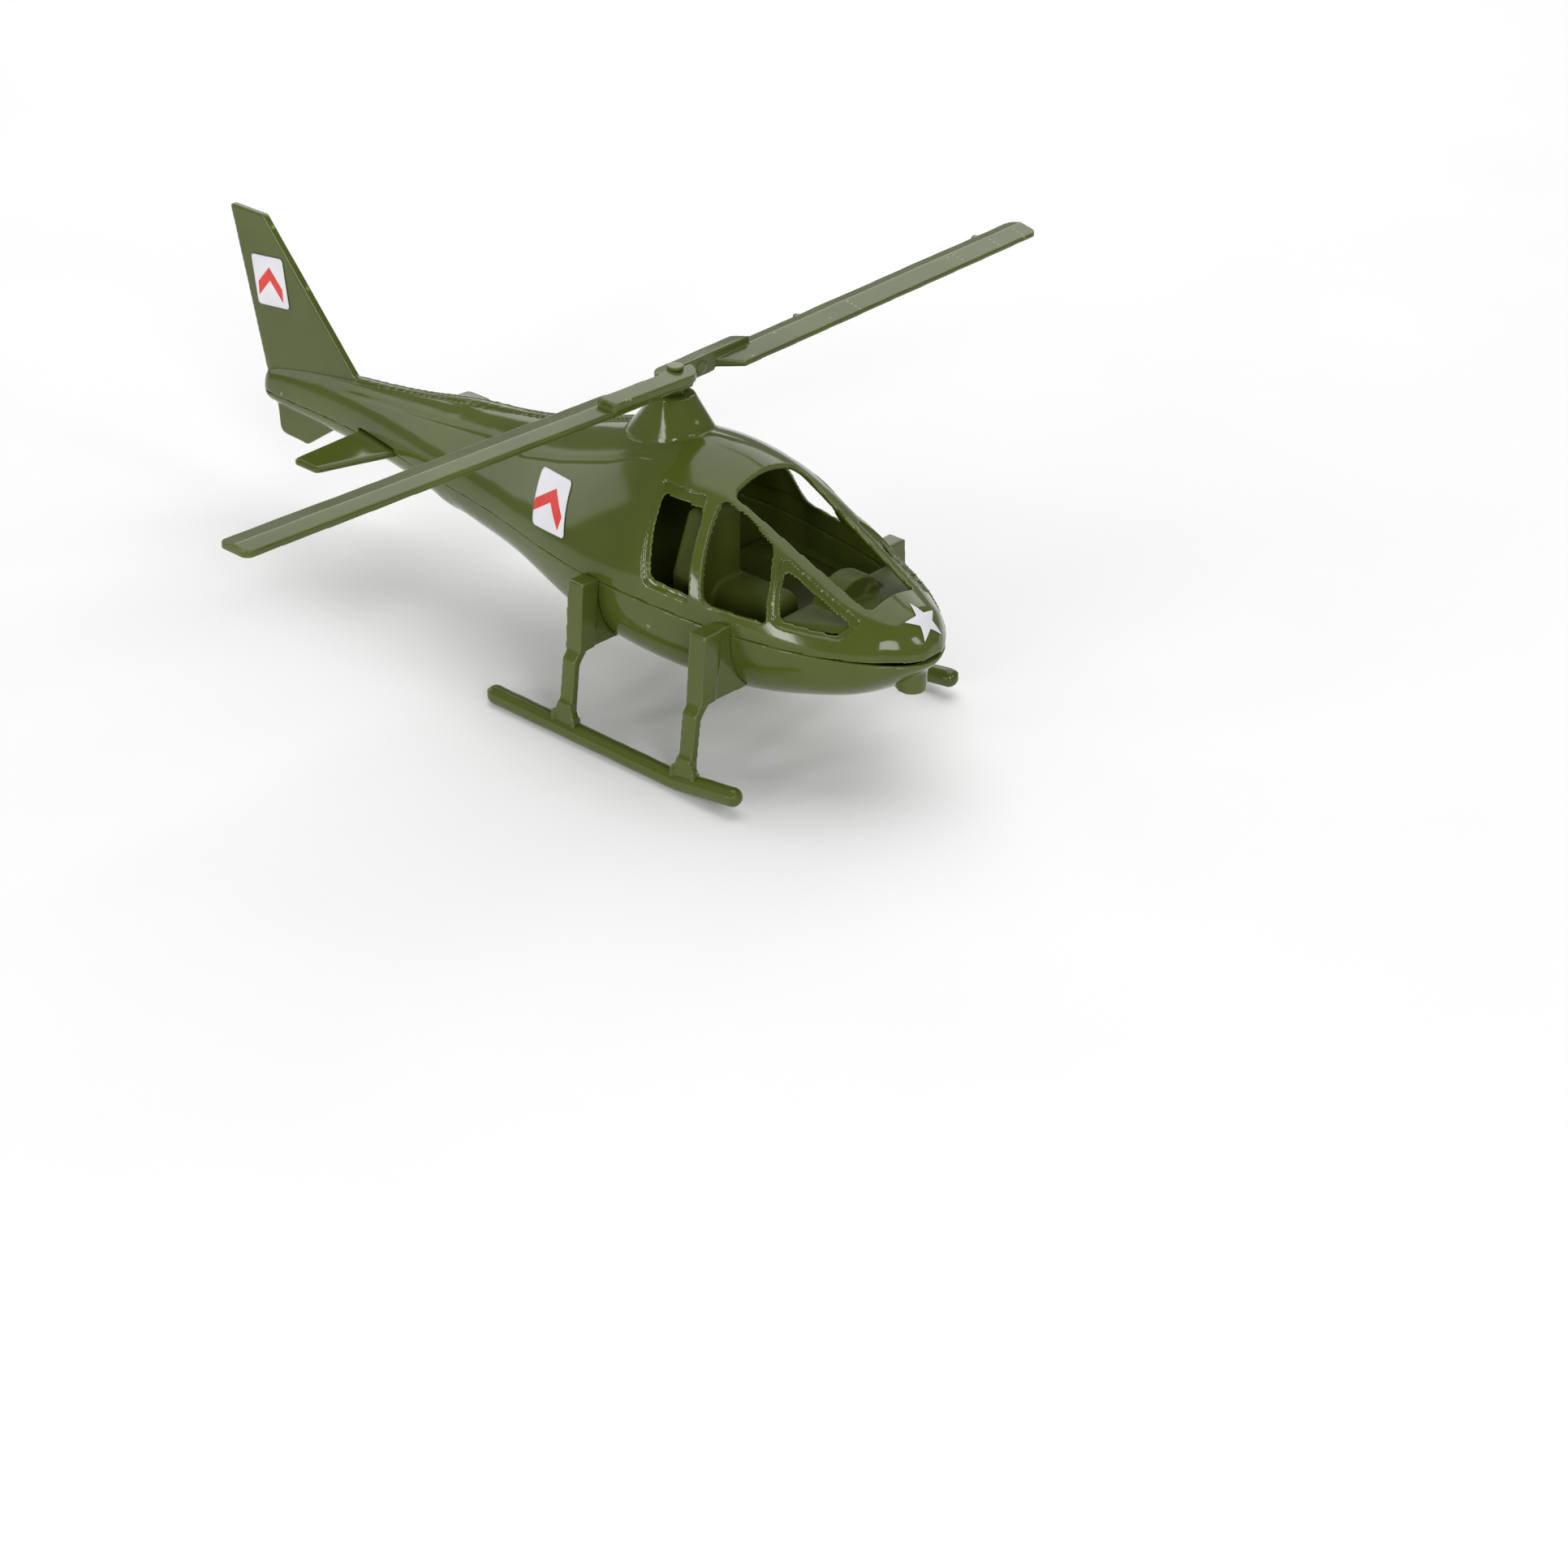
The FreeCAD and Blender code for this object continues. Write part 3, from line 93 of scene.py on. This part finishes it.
def spline(stations, values, wanted):
    """Values at the wanted places on a natural cubic through the stations."""
    gaps = np.diff(stations)
    slopes = np.diff(values) / gaps
    size = len(stations)
    system = np.eye(size)
    right = np.zeros(size)
    for i in range(1, size - 1):
        system[i, i - 1 : i + 2] = gaps[i - 1], 2 * (gaps[i - 1] + gaps[i]), gaps[i]
        right[i] = 6 * (slopes[i] - slopes[i - 1])
    bends = np.linalg.solve(system, right)
    i = np.clip(np.searchsorted(stations, wanted) - 1, 0, size - 2)
    span = gaps[i]
    before = (stations[i + 1] - wanted) / span
    after = 1 - before
    curved = (before**3 - before) * bends[i] + (after**3 - after) * bends[i + 1]
    return before * values[i] + after * values[i + 1] + curved * span**2 / 6


def smoothstep(low, high, value):
    share = np.clip((value - low) / (high - low), 0, 1)
    return share * share * (3 - 2 * share)


# ---------------------------------------------------------------- meshes as arrays
def points_of(mesh):
    """A mesh's points in mm from the mast."""
    flat = np.empty(3 * len(mesh.vertices))
    mesh.vertices.foreach_get("co", flat)
    return flat.reshape(-1, 3) / MM - (MAST_X, 0, 0)


def normals_of(mesh):
    flat = np.empty(3 * len(mesh.vertices))
    mesh.vertex_normals.foreach_get("vector", flat)
    return flat.reshape(-1, 3)


def set_points(mesh, points):
    mesh.vertices.foreach_set("co", ((points + (MAST_X, 0, 0)) * MM).ravel())
    mesh.update()


def ripple(points, normals, size, height):
    """Points moved along their normals by slow seeded noise, as a moulded skin is never quite fair."""
    moves = np.array([noise.noise(Vector(p / size)) for p in points])
    return points + normals * (moves * height)[:, None]


# ---------------------------------------------------------------- pieces from CAD nodes
def new_object(name, mesh):
    obj = bpy.data.objects.new(name, mesh)
    bpy.context.scene.collection.objects.link(obj)
    return obj


def applied(obj):
    """The object with its modifiers made real."""
    graph = bpy.context.evaluated_depsgraph_get()
    mesh = bpy.data.meshes.new_from_object(obj.evaluated_get(graph))
    obj.modifiers.clear()
    obj.data = mesh
    return obj


def welded_copy(name, node, extra=()):
    """A node's mesh, its corners joined, with any extra closed meshes beside it."""
    work = bmesh.new()
    work.from_mesh(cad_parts[node].data)
    for part in extra:
        work.from_mesh(part)
    bmesh.ops.remove_doubles(work, verts=work.verts, dist=1e-6)
    mesh = bpy.data.meshes.new(name)
    work.to_mesh(mesh)
    work.free()
    mesh.materials.clear()
    return mesh


def moulded(name, node, body, voxel, rounds, extra=(), shape=None, wave=(9.0, 0.05)):
    """A node's shape as it leaves the mould: soft edges, a slightly wavy skin, and what shape adds."""
    obj = new_object(name, welded_copy(name, node, extra))
    remesh = obj.modifiers.new("remesh", "REMESH")
    remesh.mode = "VOXEL"
    remesh.voxel_size = voxel * MM * 1.0
    smooth = obj.modifiers.new("smooth", "SMOOTH")
    smooth.factor = 0.5
    smooth.iterations = rounds
    applied(obj)
    mesh = obj.data
    points = points_of(mesh)
    if shape:
        points = shape(points)
        set_points(mesh, points)
    set_points(mesh, ripple(points, normals_of(mesh), *wave))
    mesh.polygons.foreach_set("use_smooth", [True] * len(mesh.polygons))
    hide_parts(node)
    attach(obj, body)
    return obj


# ---------------------------------------------------------------- the fuselage's skin
def to_skin(points):
    """Points close to the frames' smooth curve, eased onto it; points further off are left alone."""
    x, y, z = points.T
    stations, *columns = FRAMES.T
    half, seam, roof, belly, roof_full, belly_full = (spline(stations, column, x) for column in columns)
    above = z >= seam
    rise = np.where(above, roof - seam, seam - belly)
    full = np.where(above, roof_full, belly_full)
    out = np.hypot(y, z - seam)
    reach = (np.abs(y / half) ** full + np.abs((z - seam) / rise) ** full) ** (1 / full)
    gap = out * (1 - 1 / np.maximum(reach, 1e-6))
    weight = 1 - smoothstep(SNAP_NEAR, SNAP_FAR, np.abs(gap))
    weight *= smoothstep(SNAP_AFT, SNAP_AFT + 4, x) * (1 - smoothstep(SNAP_FORE - 3, SNAP_FORE, x))
    scale = 1 + weight * (1 / np.maximum(reach, 1e-6) - 1)
    return np.c_[x, y * scale, seam + (z - seam) * scale]


def round_boom_end(points):
    """The boom's blunt end, drawn in towards its middle."""
    x, y, z = points.T
    depth = np.clip((BOOM_END_START - x) / BOOM_END_LENGTH, 0, 1)
    scale = np.where(z < BOOM_END_TOP, np.sqrt(1 - 0.75 * depth**2), 1)
    return np.c_[x, y * scale, BOOM_END_MIDDLE + (z - BOOM_END_MIDDLE) * scale]


def roof_line(points):
    """A shallow mould line along each side of the roof."""
    x, y, z = points.T
    stations, heights = np.array(ROOF_LINE, float).T
    off = z - np.interp(x, stations, heights)
    fade = smoothstep(-118, -105, x) * (1 - smoothstep(2, 10, x))
    dent = ROOF_LINE_DEPTH * np.exp(-((off / ROOF_LINE_WIDTH) ** 2)) * fade * (np.abs(y) > 2.5)
    return np.c_[x, y - np.sign(y) * dent, z - dent]


def upper_skin(points):
    return roof_line(round_boom_end(to_skin(points)))


def lower_skin(points):
    return round_boom_end(to_skin(points))


SKID_Y, SKID_LINE = 38.3, ((-22.9, 2.15), (36.7, 2.15), (53.4, 4.6))
RIDGE_UP, RIDGE_WIDTH, RIDGE_HEIGHT = 1.0, 0.32, 0.26


def skid_ridge(points):
    """The mould's parting ridge along a skid's outer side."""
    x, y, z = points.T
    stations, heights = np.array(SKID_LINE).T
    up = z - np.interp(x, stations, heights)
    out = np.abs(y) - SKID_Y
    height = RIDGE_HEIGHT * np.exp(-(((up - RIDGE_UP) / RIDGE_WIDTH) ** 2)) * (out > 0.5)
    reach = np.maximum(np.hypot(out, up), 0.5)
    return np.c_[x, y + np.sign(y) * height * out / reach, z + height * up / reach]


# ---------------------------------------------------------------- materials
class Nodes:
    """A short way to add and join shader nodes."""

    def __init__(self, name):
        self.material = bpy.data.materials.new(name)
        self.material.use_nodes = True
        self.tree = self.material.node_tree
        self.shader = self.tree.nodes["Principled BSDF"]

    def add(self, kind, **settings):
        node = self.tree.nodes.new(kind)
        for key, value in settings.items():
            if hasattr(node, key):
                setattr(node, key, value)
            else:
                node.inputs[key.replace("_", " ")].default_value = value
        return node

    def join(self, out, into):
        self.tree.links.new(out, into)

    def value(self, name, amount):
        self.shader.inputs[name].default_value = amount

    def noise(self, scale, detail=3.0, rough=0.5, distortion=0.0):
        place = self.add("ShaderNodeTexCoord")
        sizes = {"Scale": scale, "Detail": detail, "Roughness": rough, "Distortion": distortion}
        cloud = self.add("ShaderNodeTexNoise", **sizes)
        self.join(place.outputs["Object"], cloud.inputs["Vector"])
        return cloud.outputs["Fac"]

    def ramp(self, source, *stops):
        node = self.add("ShaderNodeValToRGB")
        band = node.color_ramp
        while len(band.elements) < len(stops):
            band.elements.new(0.5)
        for element, (place, colour) in zip(band.elements, stops):
            element.position = place
            element.color = (*colour, 1)
        self.join(source, node.inputs["Fac"])
        return node.outputs["Color"]

    def spread(self, source, low, high):
        node = self.add("ShaderNodeMapRange")
        node.inputs["To Min"].default_value = low
        node.inputs["To Max"].default_value = high
        self.join(source, node.inputs["Value"])
        return node.outputs["Result"]

    def mix(self, share, first, second):
        node = self.add("ShaderNodeMix", data_type="RGBA")
        self.join(share, node.inputs[0])
        for colour, into in ((first, node.inputs[6]), (second, node.inputs[7])):
            if isinstance(colour, tuple):
                into.default_value = (*colour, 1)
            else:
                self.join(colour, into)
        return node.outputs[2]

    def math(self, operation, first, second=0.0):
        node = self.add("ShaderNodeMath", operation=operation)
        for item, into in zip((first, second), node.inputs):
            if isinstance(item, (int, float)):
                into.default_value = item
            else:
                self.join(item, into)
        return node.outputs[0]

    def bump(self, height, strength, distance):
        node = self.add("ShaderNodeBump", Strength=strength, Distance=distance)
        self.join(height, node.inputs["Height"])
        self.join(node.outputs["Normal"], self.shader.inputs["Normal"])


def olive_plastic(name, deep, body, edge_highlight, rough=(0.08, 0.16), shine=0.36):
    """Glossy polythene: a slow swirl of pigment, with a painted highlight making sharp edges paler, and
    a faint grain.
    """
    n = Nodes(name)
    swirl = n.noise(30.0, 3.0, 0.5, 0.5)
    colour = n.ramp(swirl, (0.30, deep), (0.62, body))
    shape = n.add("ShaderNodeNewGeometry")
    # Sharp edges are mixed towards the pale colour: a painted highlight standing in for the light the
    # rims catch.
    edge_highlight_share = n.ramp(shape.outputs["Pointiness"], (0.532, (0, 0, 0)), (0.61, (0.7, 0.7, 0.7)))
    colour = n.mix(edge_highlight_share, colour, edge_highlight)
    n.join(colour, n.shader.inputs["Base Color"])
    n.join(n.spread(n.noise(90.0, 5.0, 0.6), *rough), n.shader.inputs["Roughness"])
    n.value("Specular IOR Level", shine)
    n.value("IOR", 1.5)
    n.bump(n.noise(300.0, 4.0, 0.55), 0.14, 0.00010)
    return n.material


# The chevron's sizes, as shares of the sticker's own half width and half height.
CHEVRON_MIDDLE, CHEVRON_HALF_THICK, CHEVRON_HALF_WIDTH, CHEVRON_FOOT = 0.28, 0.25, 0.68, -0.7


def sticker_vinyl(name, chevron):
    """Satin white vinyl, grey at its cut edge, with a plain red chevron printed on it if it has one."""
    n = Nodes(name)
    spot = n.add("ShaderNodeAttribute", attribute_name="print_place")
    parts = n.add("ShaderNodeSeparateXYZ")
    n.join(spot.outputs["Vector"], parts.inputs[0])
    across, along, edge = parts.outputs
    colour = n.ramp(n.noise(160.0, 3.0), (0.3, (0.66, 0.65, 0.68)), (0.7, (0.73, 0.72, 0.75)))
    if chevron:
        slanted = n.math("ADD", along, n.math("ABSOLUTE", across))
        arm = n.math("ABSOLUTE", n.math("SUBTRACT", slanted, CHEVRON_MIDDLE))
        inside = n.math("LESS_THAN", arm, CHEVRON_HALF_THICK)
        narrow = n.math("LESS_THAN", n.math("ABSOLUTE", across), CHEVRON_HALF_WIDTH)
        low = n.math("GREATER_THAN", along, CHEVRON_FOOT)
        red = n.ramp(n.noise(220.0, 3.0), (0.3, (0.60, 0.022, 0.016)), (0.7, (0.68, 0.03, 0.022)))
        colour = n.mix(n.math("MULTIPLY", n.math("MULTIPLY", inside, narrow), low), colour, red)
    colour = n.mix(n.math("GREATER_THAN", edge, 0.975), colour, (0.10, 0.10, 0.09))
    n.join(colour, n.shader.inputs["Base Color"])
    n.join(n.spread(n.noise(300.0, 4.0), 0.34, 0.46), n.shader.inputs["Roughness"])
    n.bump(n.noise(700.0, 3.0), 0.12, 0.00005)
    return n.material


def studio_paper():
    n = Nodes("studio_paper")
    colour = n.ramp(n.noise(9.0), (0.3, (0.90, 0.90, 0.895)), (0.7, (0.92, 0.92, 0.915)))
    n.join(colour, n.shader.inputs["Base Color"])
    n.value("Roughness", 0.9)
    return n.material


# DEEP and BODY are the pigment's swirl; the pale colours here are painted highlights for sharp edges.
DEEP, BODY, EDGE_HIGHLIGHT = (0.058, 0.076, 0.010), (0.072, 0.096, 0.014), (0.24, 0.30, 0.09)
SHELL_PLASTIC = olive_plastic("olive_shell_plastic", DEEP, BODY, EDGE_HIGHLIGHT)
ROTOR_BODY, ROTOR_EDGE_HIGHLIGHT = (0.080, 0.106, 0.016), (0.28, 0.35, 0.11)
ROTOR_PLASTIC = olive_plastic("olive_rotor_plastic", DEEP, ROTOR_BODY, ROTOR_EDGE_HIGHLIGHT, (0.14, 0.24))
# The cabin's pieces use a darker copy of the olive plastic: painted shade for the dim inside of the
# cabin.
CABIN_SHADED_BODY = (0.042, 0.053, 0.008)
CABIN_SHADED_PLASTIC = olive_plastic("olive_cabin_plastic_painted_shade", DEEP, CABIN_SHADED_BODY, EDGE_HIGHLIGHT, (0.36, 0.48), 0.12)


def coat(obj, material):
    """Gives an object one material all over."""
    obj.data.materials.clear()
    obj.data.materials.append(material)
    return obj


# ---------------------------------------------------------------- small marks left by the mould
def slab(corners, along):
    """A small closed solid: an outline in mm from the mast, pushed along a vector."""
    work = bmesh.new()
    near = [work.verts.new(row(*corner)) for corner in corners]
    far = [work.verts.new(row(*(Vector(corner) + along))) for corner in corners]
    work.faces.new(near)
    work.faces.new(far[::-1])
    for k in range(len(corners)):
        j = (k + 1) % len(corners)
        work.faces.new((near[k], far[k], far[j], near[j]))
    bmesh.ops.recalc_face_normals(work, faces=work.faces)
    mesh = bpy.data.meshes.new("slab")
    work.to_mesh(mesh)
    work.free()
    return mesh


LEG_X = {"front": 39.1, "rear": 0.9}
FOOT_FLARE = ((-3.5, 3.4), (3.5, 3.4), (3.2, 5.6), (2.0, 9.2), (-2.0, 9.2), (-3.2, 5.6))
FOOT_BURR = ((2.7, 3.4), (3.7, 3.4), (4.0, 4.6), (3.7, 6.2), (3.2, 6.7), (2.7, 5.8))


def foot_marks(end, side):
    """The flare at the bottom of a leg and the slim burrs standing up at its two corners."""
    x = LEG_X[end]
    inner, outer = side * 37.5, side * 39.3
    marks = [slab([(x + i, inner, z) for i, z in FOOT_FLARE], Vector((0, outer - inner, 0)))]
    for hand in (-1, 1):
        points = [(x + hand * i, side * 38.0, z) for i, z in FOOT_BURR]
        marks.append(slab(points, Vector((0, side * 1.9, 0))))
    return marks


def nub(x, y, z, size):
    """A torn-off sprue: a small uneven lump on an edge."""
    outline = ((-0.9, -0.4), (-0.2, -0.55), (0.8, -0.35), (1.0, 0.2), (0.3, 0.5), (-0.7, 0.4))
    return slab([(x, y + i * size, z + k * size) for i, k in outline], Vector((-0.9 * size, 0, 0)))


def disc(x, y, z, radius, along):
    """A round mark facing along the toy."""
    turns = [math.radians(15 * k) for k in range(24)]
    return slab([(x, y + radius * math.cos(t), z + radius * math.sin(t)) for t in turns], along)


BLADE_MARKS = {
    "a": [disc(2.0, -8.7, 78.0, 1.6, Vector((0.85, 0, 0)))],
    "b": [nub(-3.9, 46.5, 78.7, 1.0), nub(-3.9, 115.0, 80.2, 1.1), nub(-4.3, 25.0, 79.2, 0.8)],
}
SPINE_BURR = ((-79.5, -0.7, 49.0), (-76.5, -0.8, 49.6), (-76.5, 0.8, 49.6), (-79.5, 0.7, 49.0))
SPINE_MARKS = [slab(SPINE_BURR, Vector((0, 0, 1.6)))]


# ---------------------------------------------------------------- moulded pieces
shells = [
    moulded("upper_shell_moulding", "upper_shell", "airframe", 0.42, 2, SPINE_MARKS, upper_skin),
    moulded("lower_shell_moulding", "lower_shell", "airframe", 0.45, 2, (), lower_skin),
]
for shell in shells:
    coat(shell, SHELL_PLASTIC)
for end in ("front", "rear"):
    for word, side in (("right", -1), ("left", 1)):
        name = f"leg_{end}_{word}"
        coat(moulded(f"{name}_moulding", name, "airframe", 0.3, 2, foot_marks(end, side)), SHELL_PLASTIC)
for word in ("right", "left"):
    name = f"skid_{word}"
    skid = moulded(f"{name}_moulding", name, "airframe", 0.3, 3, (), skid_ridge, (6.0, 0.12))
    coat(skid, SHELL_PLASTIC)
coat(moulded("tailplane_moulding", "tailplane", "airframe", 0.32, 2), SHELL_PLASTIC)
# The cabin's pieces take the darker plastic, whose colour is painted shade.
for node in ("cabin_floor", "pilot_seat", "instrument_console"):
    coat(moulded(f"{node}_moulding", node, "airframe", 0.45, 3), CABIN_SHADED_PLASTIC)
for word in ("a", "b"):
    name = f"rotor_blade_{word}"
    marks = BLADE_MARKS[word]
    coat(moulded(f"{name}_moulding", name, "rotor", 0.27, 2, marks, wave=(14.0, 0.1)), ROTOR_PLASTIC)
for node in ("rotor_pin", "pin_retainer"):
    coat(moulded(f"{node}_moulding", node, "rotor", 0.14, 2, wave=(3.0, 0.04)), ROTOR_PLASTIC)


# ---------------------------------------------------------------- stickers
STICKER_RINGS = 12
STICKER_LIFT, STICKER_THICK = 0.10, 0.11
STICKER_EDGE_DROP = 0.4  # how much of its thickness a sticker's top loses at its rim
STICKER_REACH = 20  # how far a point of a sticker may drop before it lands


def rounded_corners(corners, radius, steps=7):
    """Points round a closed outline whose corners are curves."""
    outline = []
    count = len(corners)
    for i, corner in enumerate(corners):
        before = (corners[i - 1] - corner).normalized() * radius
        after = (corners[(i + 1) % count] - corner).normalized() * radius
        for step in range(steps + 1):
            t = step / steps
            outline.append(corner + before * (1 - t) ** 2 + after * t**2)
    return outline


def filled_in(outline, most):
    """The outline with points added on its long sides."""
    fine = []
    for here, there in zip(outline, outline[1:] + outline[:1]):
        pieces = max(1, math.ceil((there - here).length / most))
        fine += [here.lerp(there, k / pieces) for k in range(pieces)]
    return fine


def sticker(name, node, slot, material, outline, centre, across, up, out, targets):
    """A slim sheet laid on the targets: rings of points out to its outline, dropped along -out."""
    trees = []
    for target in targets:
        work = bmesh.new()
        work.from_mesh(target.data)
        trees.append(BVHTree.FromBMesh(work))
        work.free()
    widest = max(abs(p.x) for p in outline)
    tallest = max(abs(p.y) for p in outline)

    def landed(flat):
        start = centre + across * flat.x + up * flat.y + out * 9
        found = [tree.ray_cast(row(*start), -out, STICKER_REACH * MM) for tree in trees]
        hits = [h for h in found if h[0] is not None]
        spot, normal, _, _ = min(hits, key=lambda h: h[3])
        if normal.dot(out) < 0:
            normal = -normal
        return spot, normal

    work = bmesh.new()
    prints = []
    layers = []
    for height in (STICKER_LIFT, STICKER_LIFT + STICKER_THICK):
        grid = []
        for ring in range(STICKER_RINGS + 1):
            share = ring / STICKER_RINGS
            rim = ring == STICKER_RINGS and height > STICKER_LIFT
            level = height - (STICKER_EDGE_DROP * STICKER_THICK if rim else 0)
            line = []
            for p in outline if ring else outline[:1]:
                flat = Vector((p.x * share, p.y * share))
                spot, normal = landed(flat)
                line.append(work.verts.new(spot + normal * level * MM))
                prints.append((flat.x / widest, flat.y / tallest, share))
            grid.append(line)
        layers.append(grid)
    for grid, outward in zip(layers, (False, True)):
        count = len(outline)
        for k in range(count):
            j = (k + 1) % count
            fan = (grid[0][0], grid[1][k], grid[1][j])
            work.faces.new(fan if outward else fan[::-1])
            for inner, outer in zip(grid[1:], grid[2:]):
                quad = (inner[k], outer[k], outer[j], inner[j])
                work.faces.new(quad if outward else quad[::-1])
    for k in range(len(outline)):
        j = (k + 1) % len(outline)
        work.faces.new((layers[0][-1][k], layers[0][-1][j], layers[1][-1][j], layers[1][-1][k]))
    bmesh.ops.recalc_face_normals(work, faces=work.faces)
    mesh = bpy.data.meshes.new(name)
    work.to_mesh(mesh)
    work.free()
    place = mesh.attributes.new("print_place", "FLOAT_VECTOR", "POINT")
    place.data.foreach_set("vector", np.array(prints).ravel())
    mesh.polygons.foreach_set("use_smooth", [True] * len(mesh.polygons))
    obj = coat(new_object(name, mesh), material)
    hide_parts(node)
    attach(obj, "airframe")
    return obj


def sheared_box(width, height, shear, rise, radius):
    """A sticker's outline: its upright sides lean by shear and its long sides climb by rise."""
    corners = []
    for i, j in ((-0.5, -0.5), (0.5, -0.5), (0.5, 0.5), (-0.5, 0.5)):
        corners.append(Vector((i * width + shear * j * height, j * height + rise * i * width)))
    return filled_in(rounded_corners(corners, radius), 0.8)


CHEVRON_VINYL = sticker_vinyl("chevron_sticker_vinyl", True)
PLAIN_VINYL = sticker_vinyl("plain_sticker_vinyl", False)
FORWARD, UP = Vector((1, 0, 0)), Vector((0, 0, 1))
for word, side in (("right", -1), ("left", 1)):
    out = Vector((0, side, 0))
    places = (
        ("side", (-19.8, 0, 47.4), sheared_box(13.4, 10.4, -0.5, 0.09, 1.2), 20),
        ("fin", (-143.5, 0, 63.8), sheared_box(12.6, 13.6, -0.12, 0.11, 1.2), 0),
    )
    for part, centre, outline, away in places:
        centre = Vector(centre) + out * away
        label = f"{part}_sticker_{word}"
        look = ("sticker_red", CHEVRON_VINYL)
        sticker(f"{label}_sheet", label, *look, outline, centre, FORWARD, UP, out, shells)

STAR_TIPS, STAR_RADIUS, STAR_WAIST, STAR_TURN, STAR_TILT = 5, 5.4, 0.42, 178.0, 40.0
tilt = Matrix.Rotation(math.radians(STAR_TILT), 3, "Y")
star = []
for number in range(2 * STAR_TIPS):
    angle = math.radians(STAR_TURN + 180 * number / STAR_TIPS)
    radius = STAR_RADIUS * (STAR_WAIST if number % 2 else 1)
    star.append(Vector((radius * math.cos(angle), radius * math.sin(angle))))
star = filled_in(rounded_corners(star, 0.25, 3), 0.5)
STAR_PLACE = Vector((74.1, 1.1, 40.7))
sticker(
    "nose_star_sheet",
    "nose_star_sticker",
    "sticker_white",
    PLAIN_VINYL,
    star,
    STAR_PLACE,
    tilt @ FORWARD,
    Vector((0, 1, 0)),
    tilt @ UP,
    shells,
)


# ---------------------------------------------------------------- studio
LIGHT_AIM = Vector((0.0, 0.0, 0.045))


def area_light(name, azimuth, elevation, distance, size, power):
    """A soft rectangular light, placed by its direction from the toy."""
    lamp = bpy.data.lights.new(name, "AREA")
    lamp.shape = "RECTANGLE"
    lamp.size, lamp.size_y = size
    lamp.energy = power
    obj = bpy.data.objects.new(name, lamp)
    a, e = math.radians(azimuth), math.radians(elevation)
    away = Vector((math.sin(a) * math.cos(e), -math.cos(a) * math.cos(e), math.sin(e)))
    obj.location = LIGHT_AIM + away * distance
    obj.rotation_mode = "QUATERNION"
    obj.rotation_quaternion = (-away).to_track_quat("-Z", "Y")
    bpy.context.scene.collection.objects.link(obj)


# Each light: name, azimuth, elevation, distance, size and power.
STUDIO_LIGHTS = (
    ("overhead_softbox", 200, 74, 1.1, (1.2, 0.9), 6.5),
    ("left_strip", -18, 12, 1.1, (0.19, 0.42), 2.5),
    ("right_strip", 9, 10, 1.1, (0.16, 0.36), 2.4),
    ("front_softbox", 57, 25, 1.2, (0.34, 0.45), 4.0),
    ("nose_softbox", 97, 30, 1.2, (0.22, 0.3), 1.6),
    ("back_softbox", 215, 32, 1.3, (1.4, 0.8), 6.5),
    ("far_left_softbox", -78, 20, 1.4, (0.8, 0.6), 2.0),
)
for light in STUDIO_LIGHTS:
    area_light(*light)

world = bpy.data.worlds.new("studio_air")
bpy.context.scene.world = world
world.use_nodes = True
world.node_tree.nodes["Background"].inputs["Color"].default_value = (0.97, 0.98, 1.0, 1)
world.node_tree.nodes["Background"].inputs["Strength"].default_value = 0.26

FLOOR_REACH = 3.0
floor_corners = [(i * FLOOR_REACH, j * FLOOR_REACH, 0) for i, j in ((-1, -1), (1, -1), (1, 1), (-1, 1))]
floor_mesh = bpy.data.meshes.new("studio_floor")
floor_mesh.from_pydata(floor_corners, [], [(0, 1, 2, 3)])
floor = coat(new_object("studio_floor", floor_mesh), studio_paper())

# The camera: how far round and up it stands, how far it is tipped, and where it is.
CAMERA_AZIMUTH, CAMERA_ELEVATION, CAMERA_ROLL = (math.radians(a) for a in (41.37, 30.49, 0.79))
CAMERA_PLACE = (0.482956, -0.464126, 0.348168)
lens = bpy.data.cameras.new("camera")
lens.lens = 69.07
lens.sensor_width = 36.0
lens.clip_start, lens.clip_end = 0.01, 20.0
camera = bpy.data.objects.new("camera", lens)
bpy.context.scene.collection.objects.link(camera)
ahead = Vector(
    (
        -math.sin(CAMERA_AZIMUTH) * math.cos(CAMERA_ELEVATION),
        math.cos(CAMERA_AZIMUTH) * math.cos(CAMERA_ELEVATION),
        -math.sin(CAMERA_ELEVATION),
    )
)
level = ahead.cross(UP).normalized()
upright = level.cross(ahead)
right = level * math.cos(CAMERA_ROLL) + upright * math.sin(CAMERA_ROLL)
upright = upright * math.cos(CAMERA_ROLL) - level * math.sin(CAMERA_ROLL)
turned = Matrix((right, upright, -ahead)).transposed().to_4x4()
camera.matrix_world = Matrix.Translation(CAMERA_PLACE) @ turned
bpy.context.scene.camera = camera
bpy.context.scene.view_settings.view_transform = "Standard"
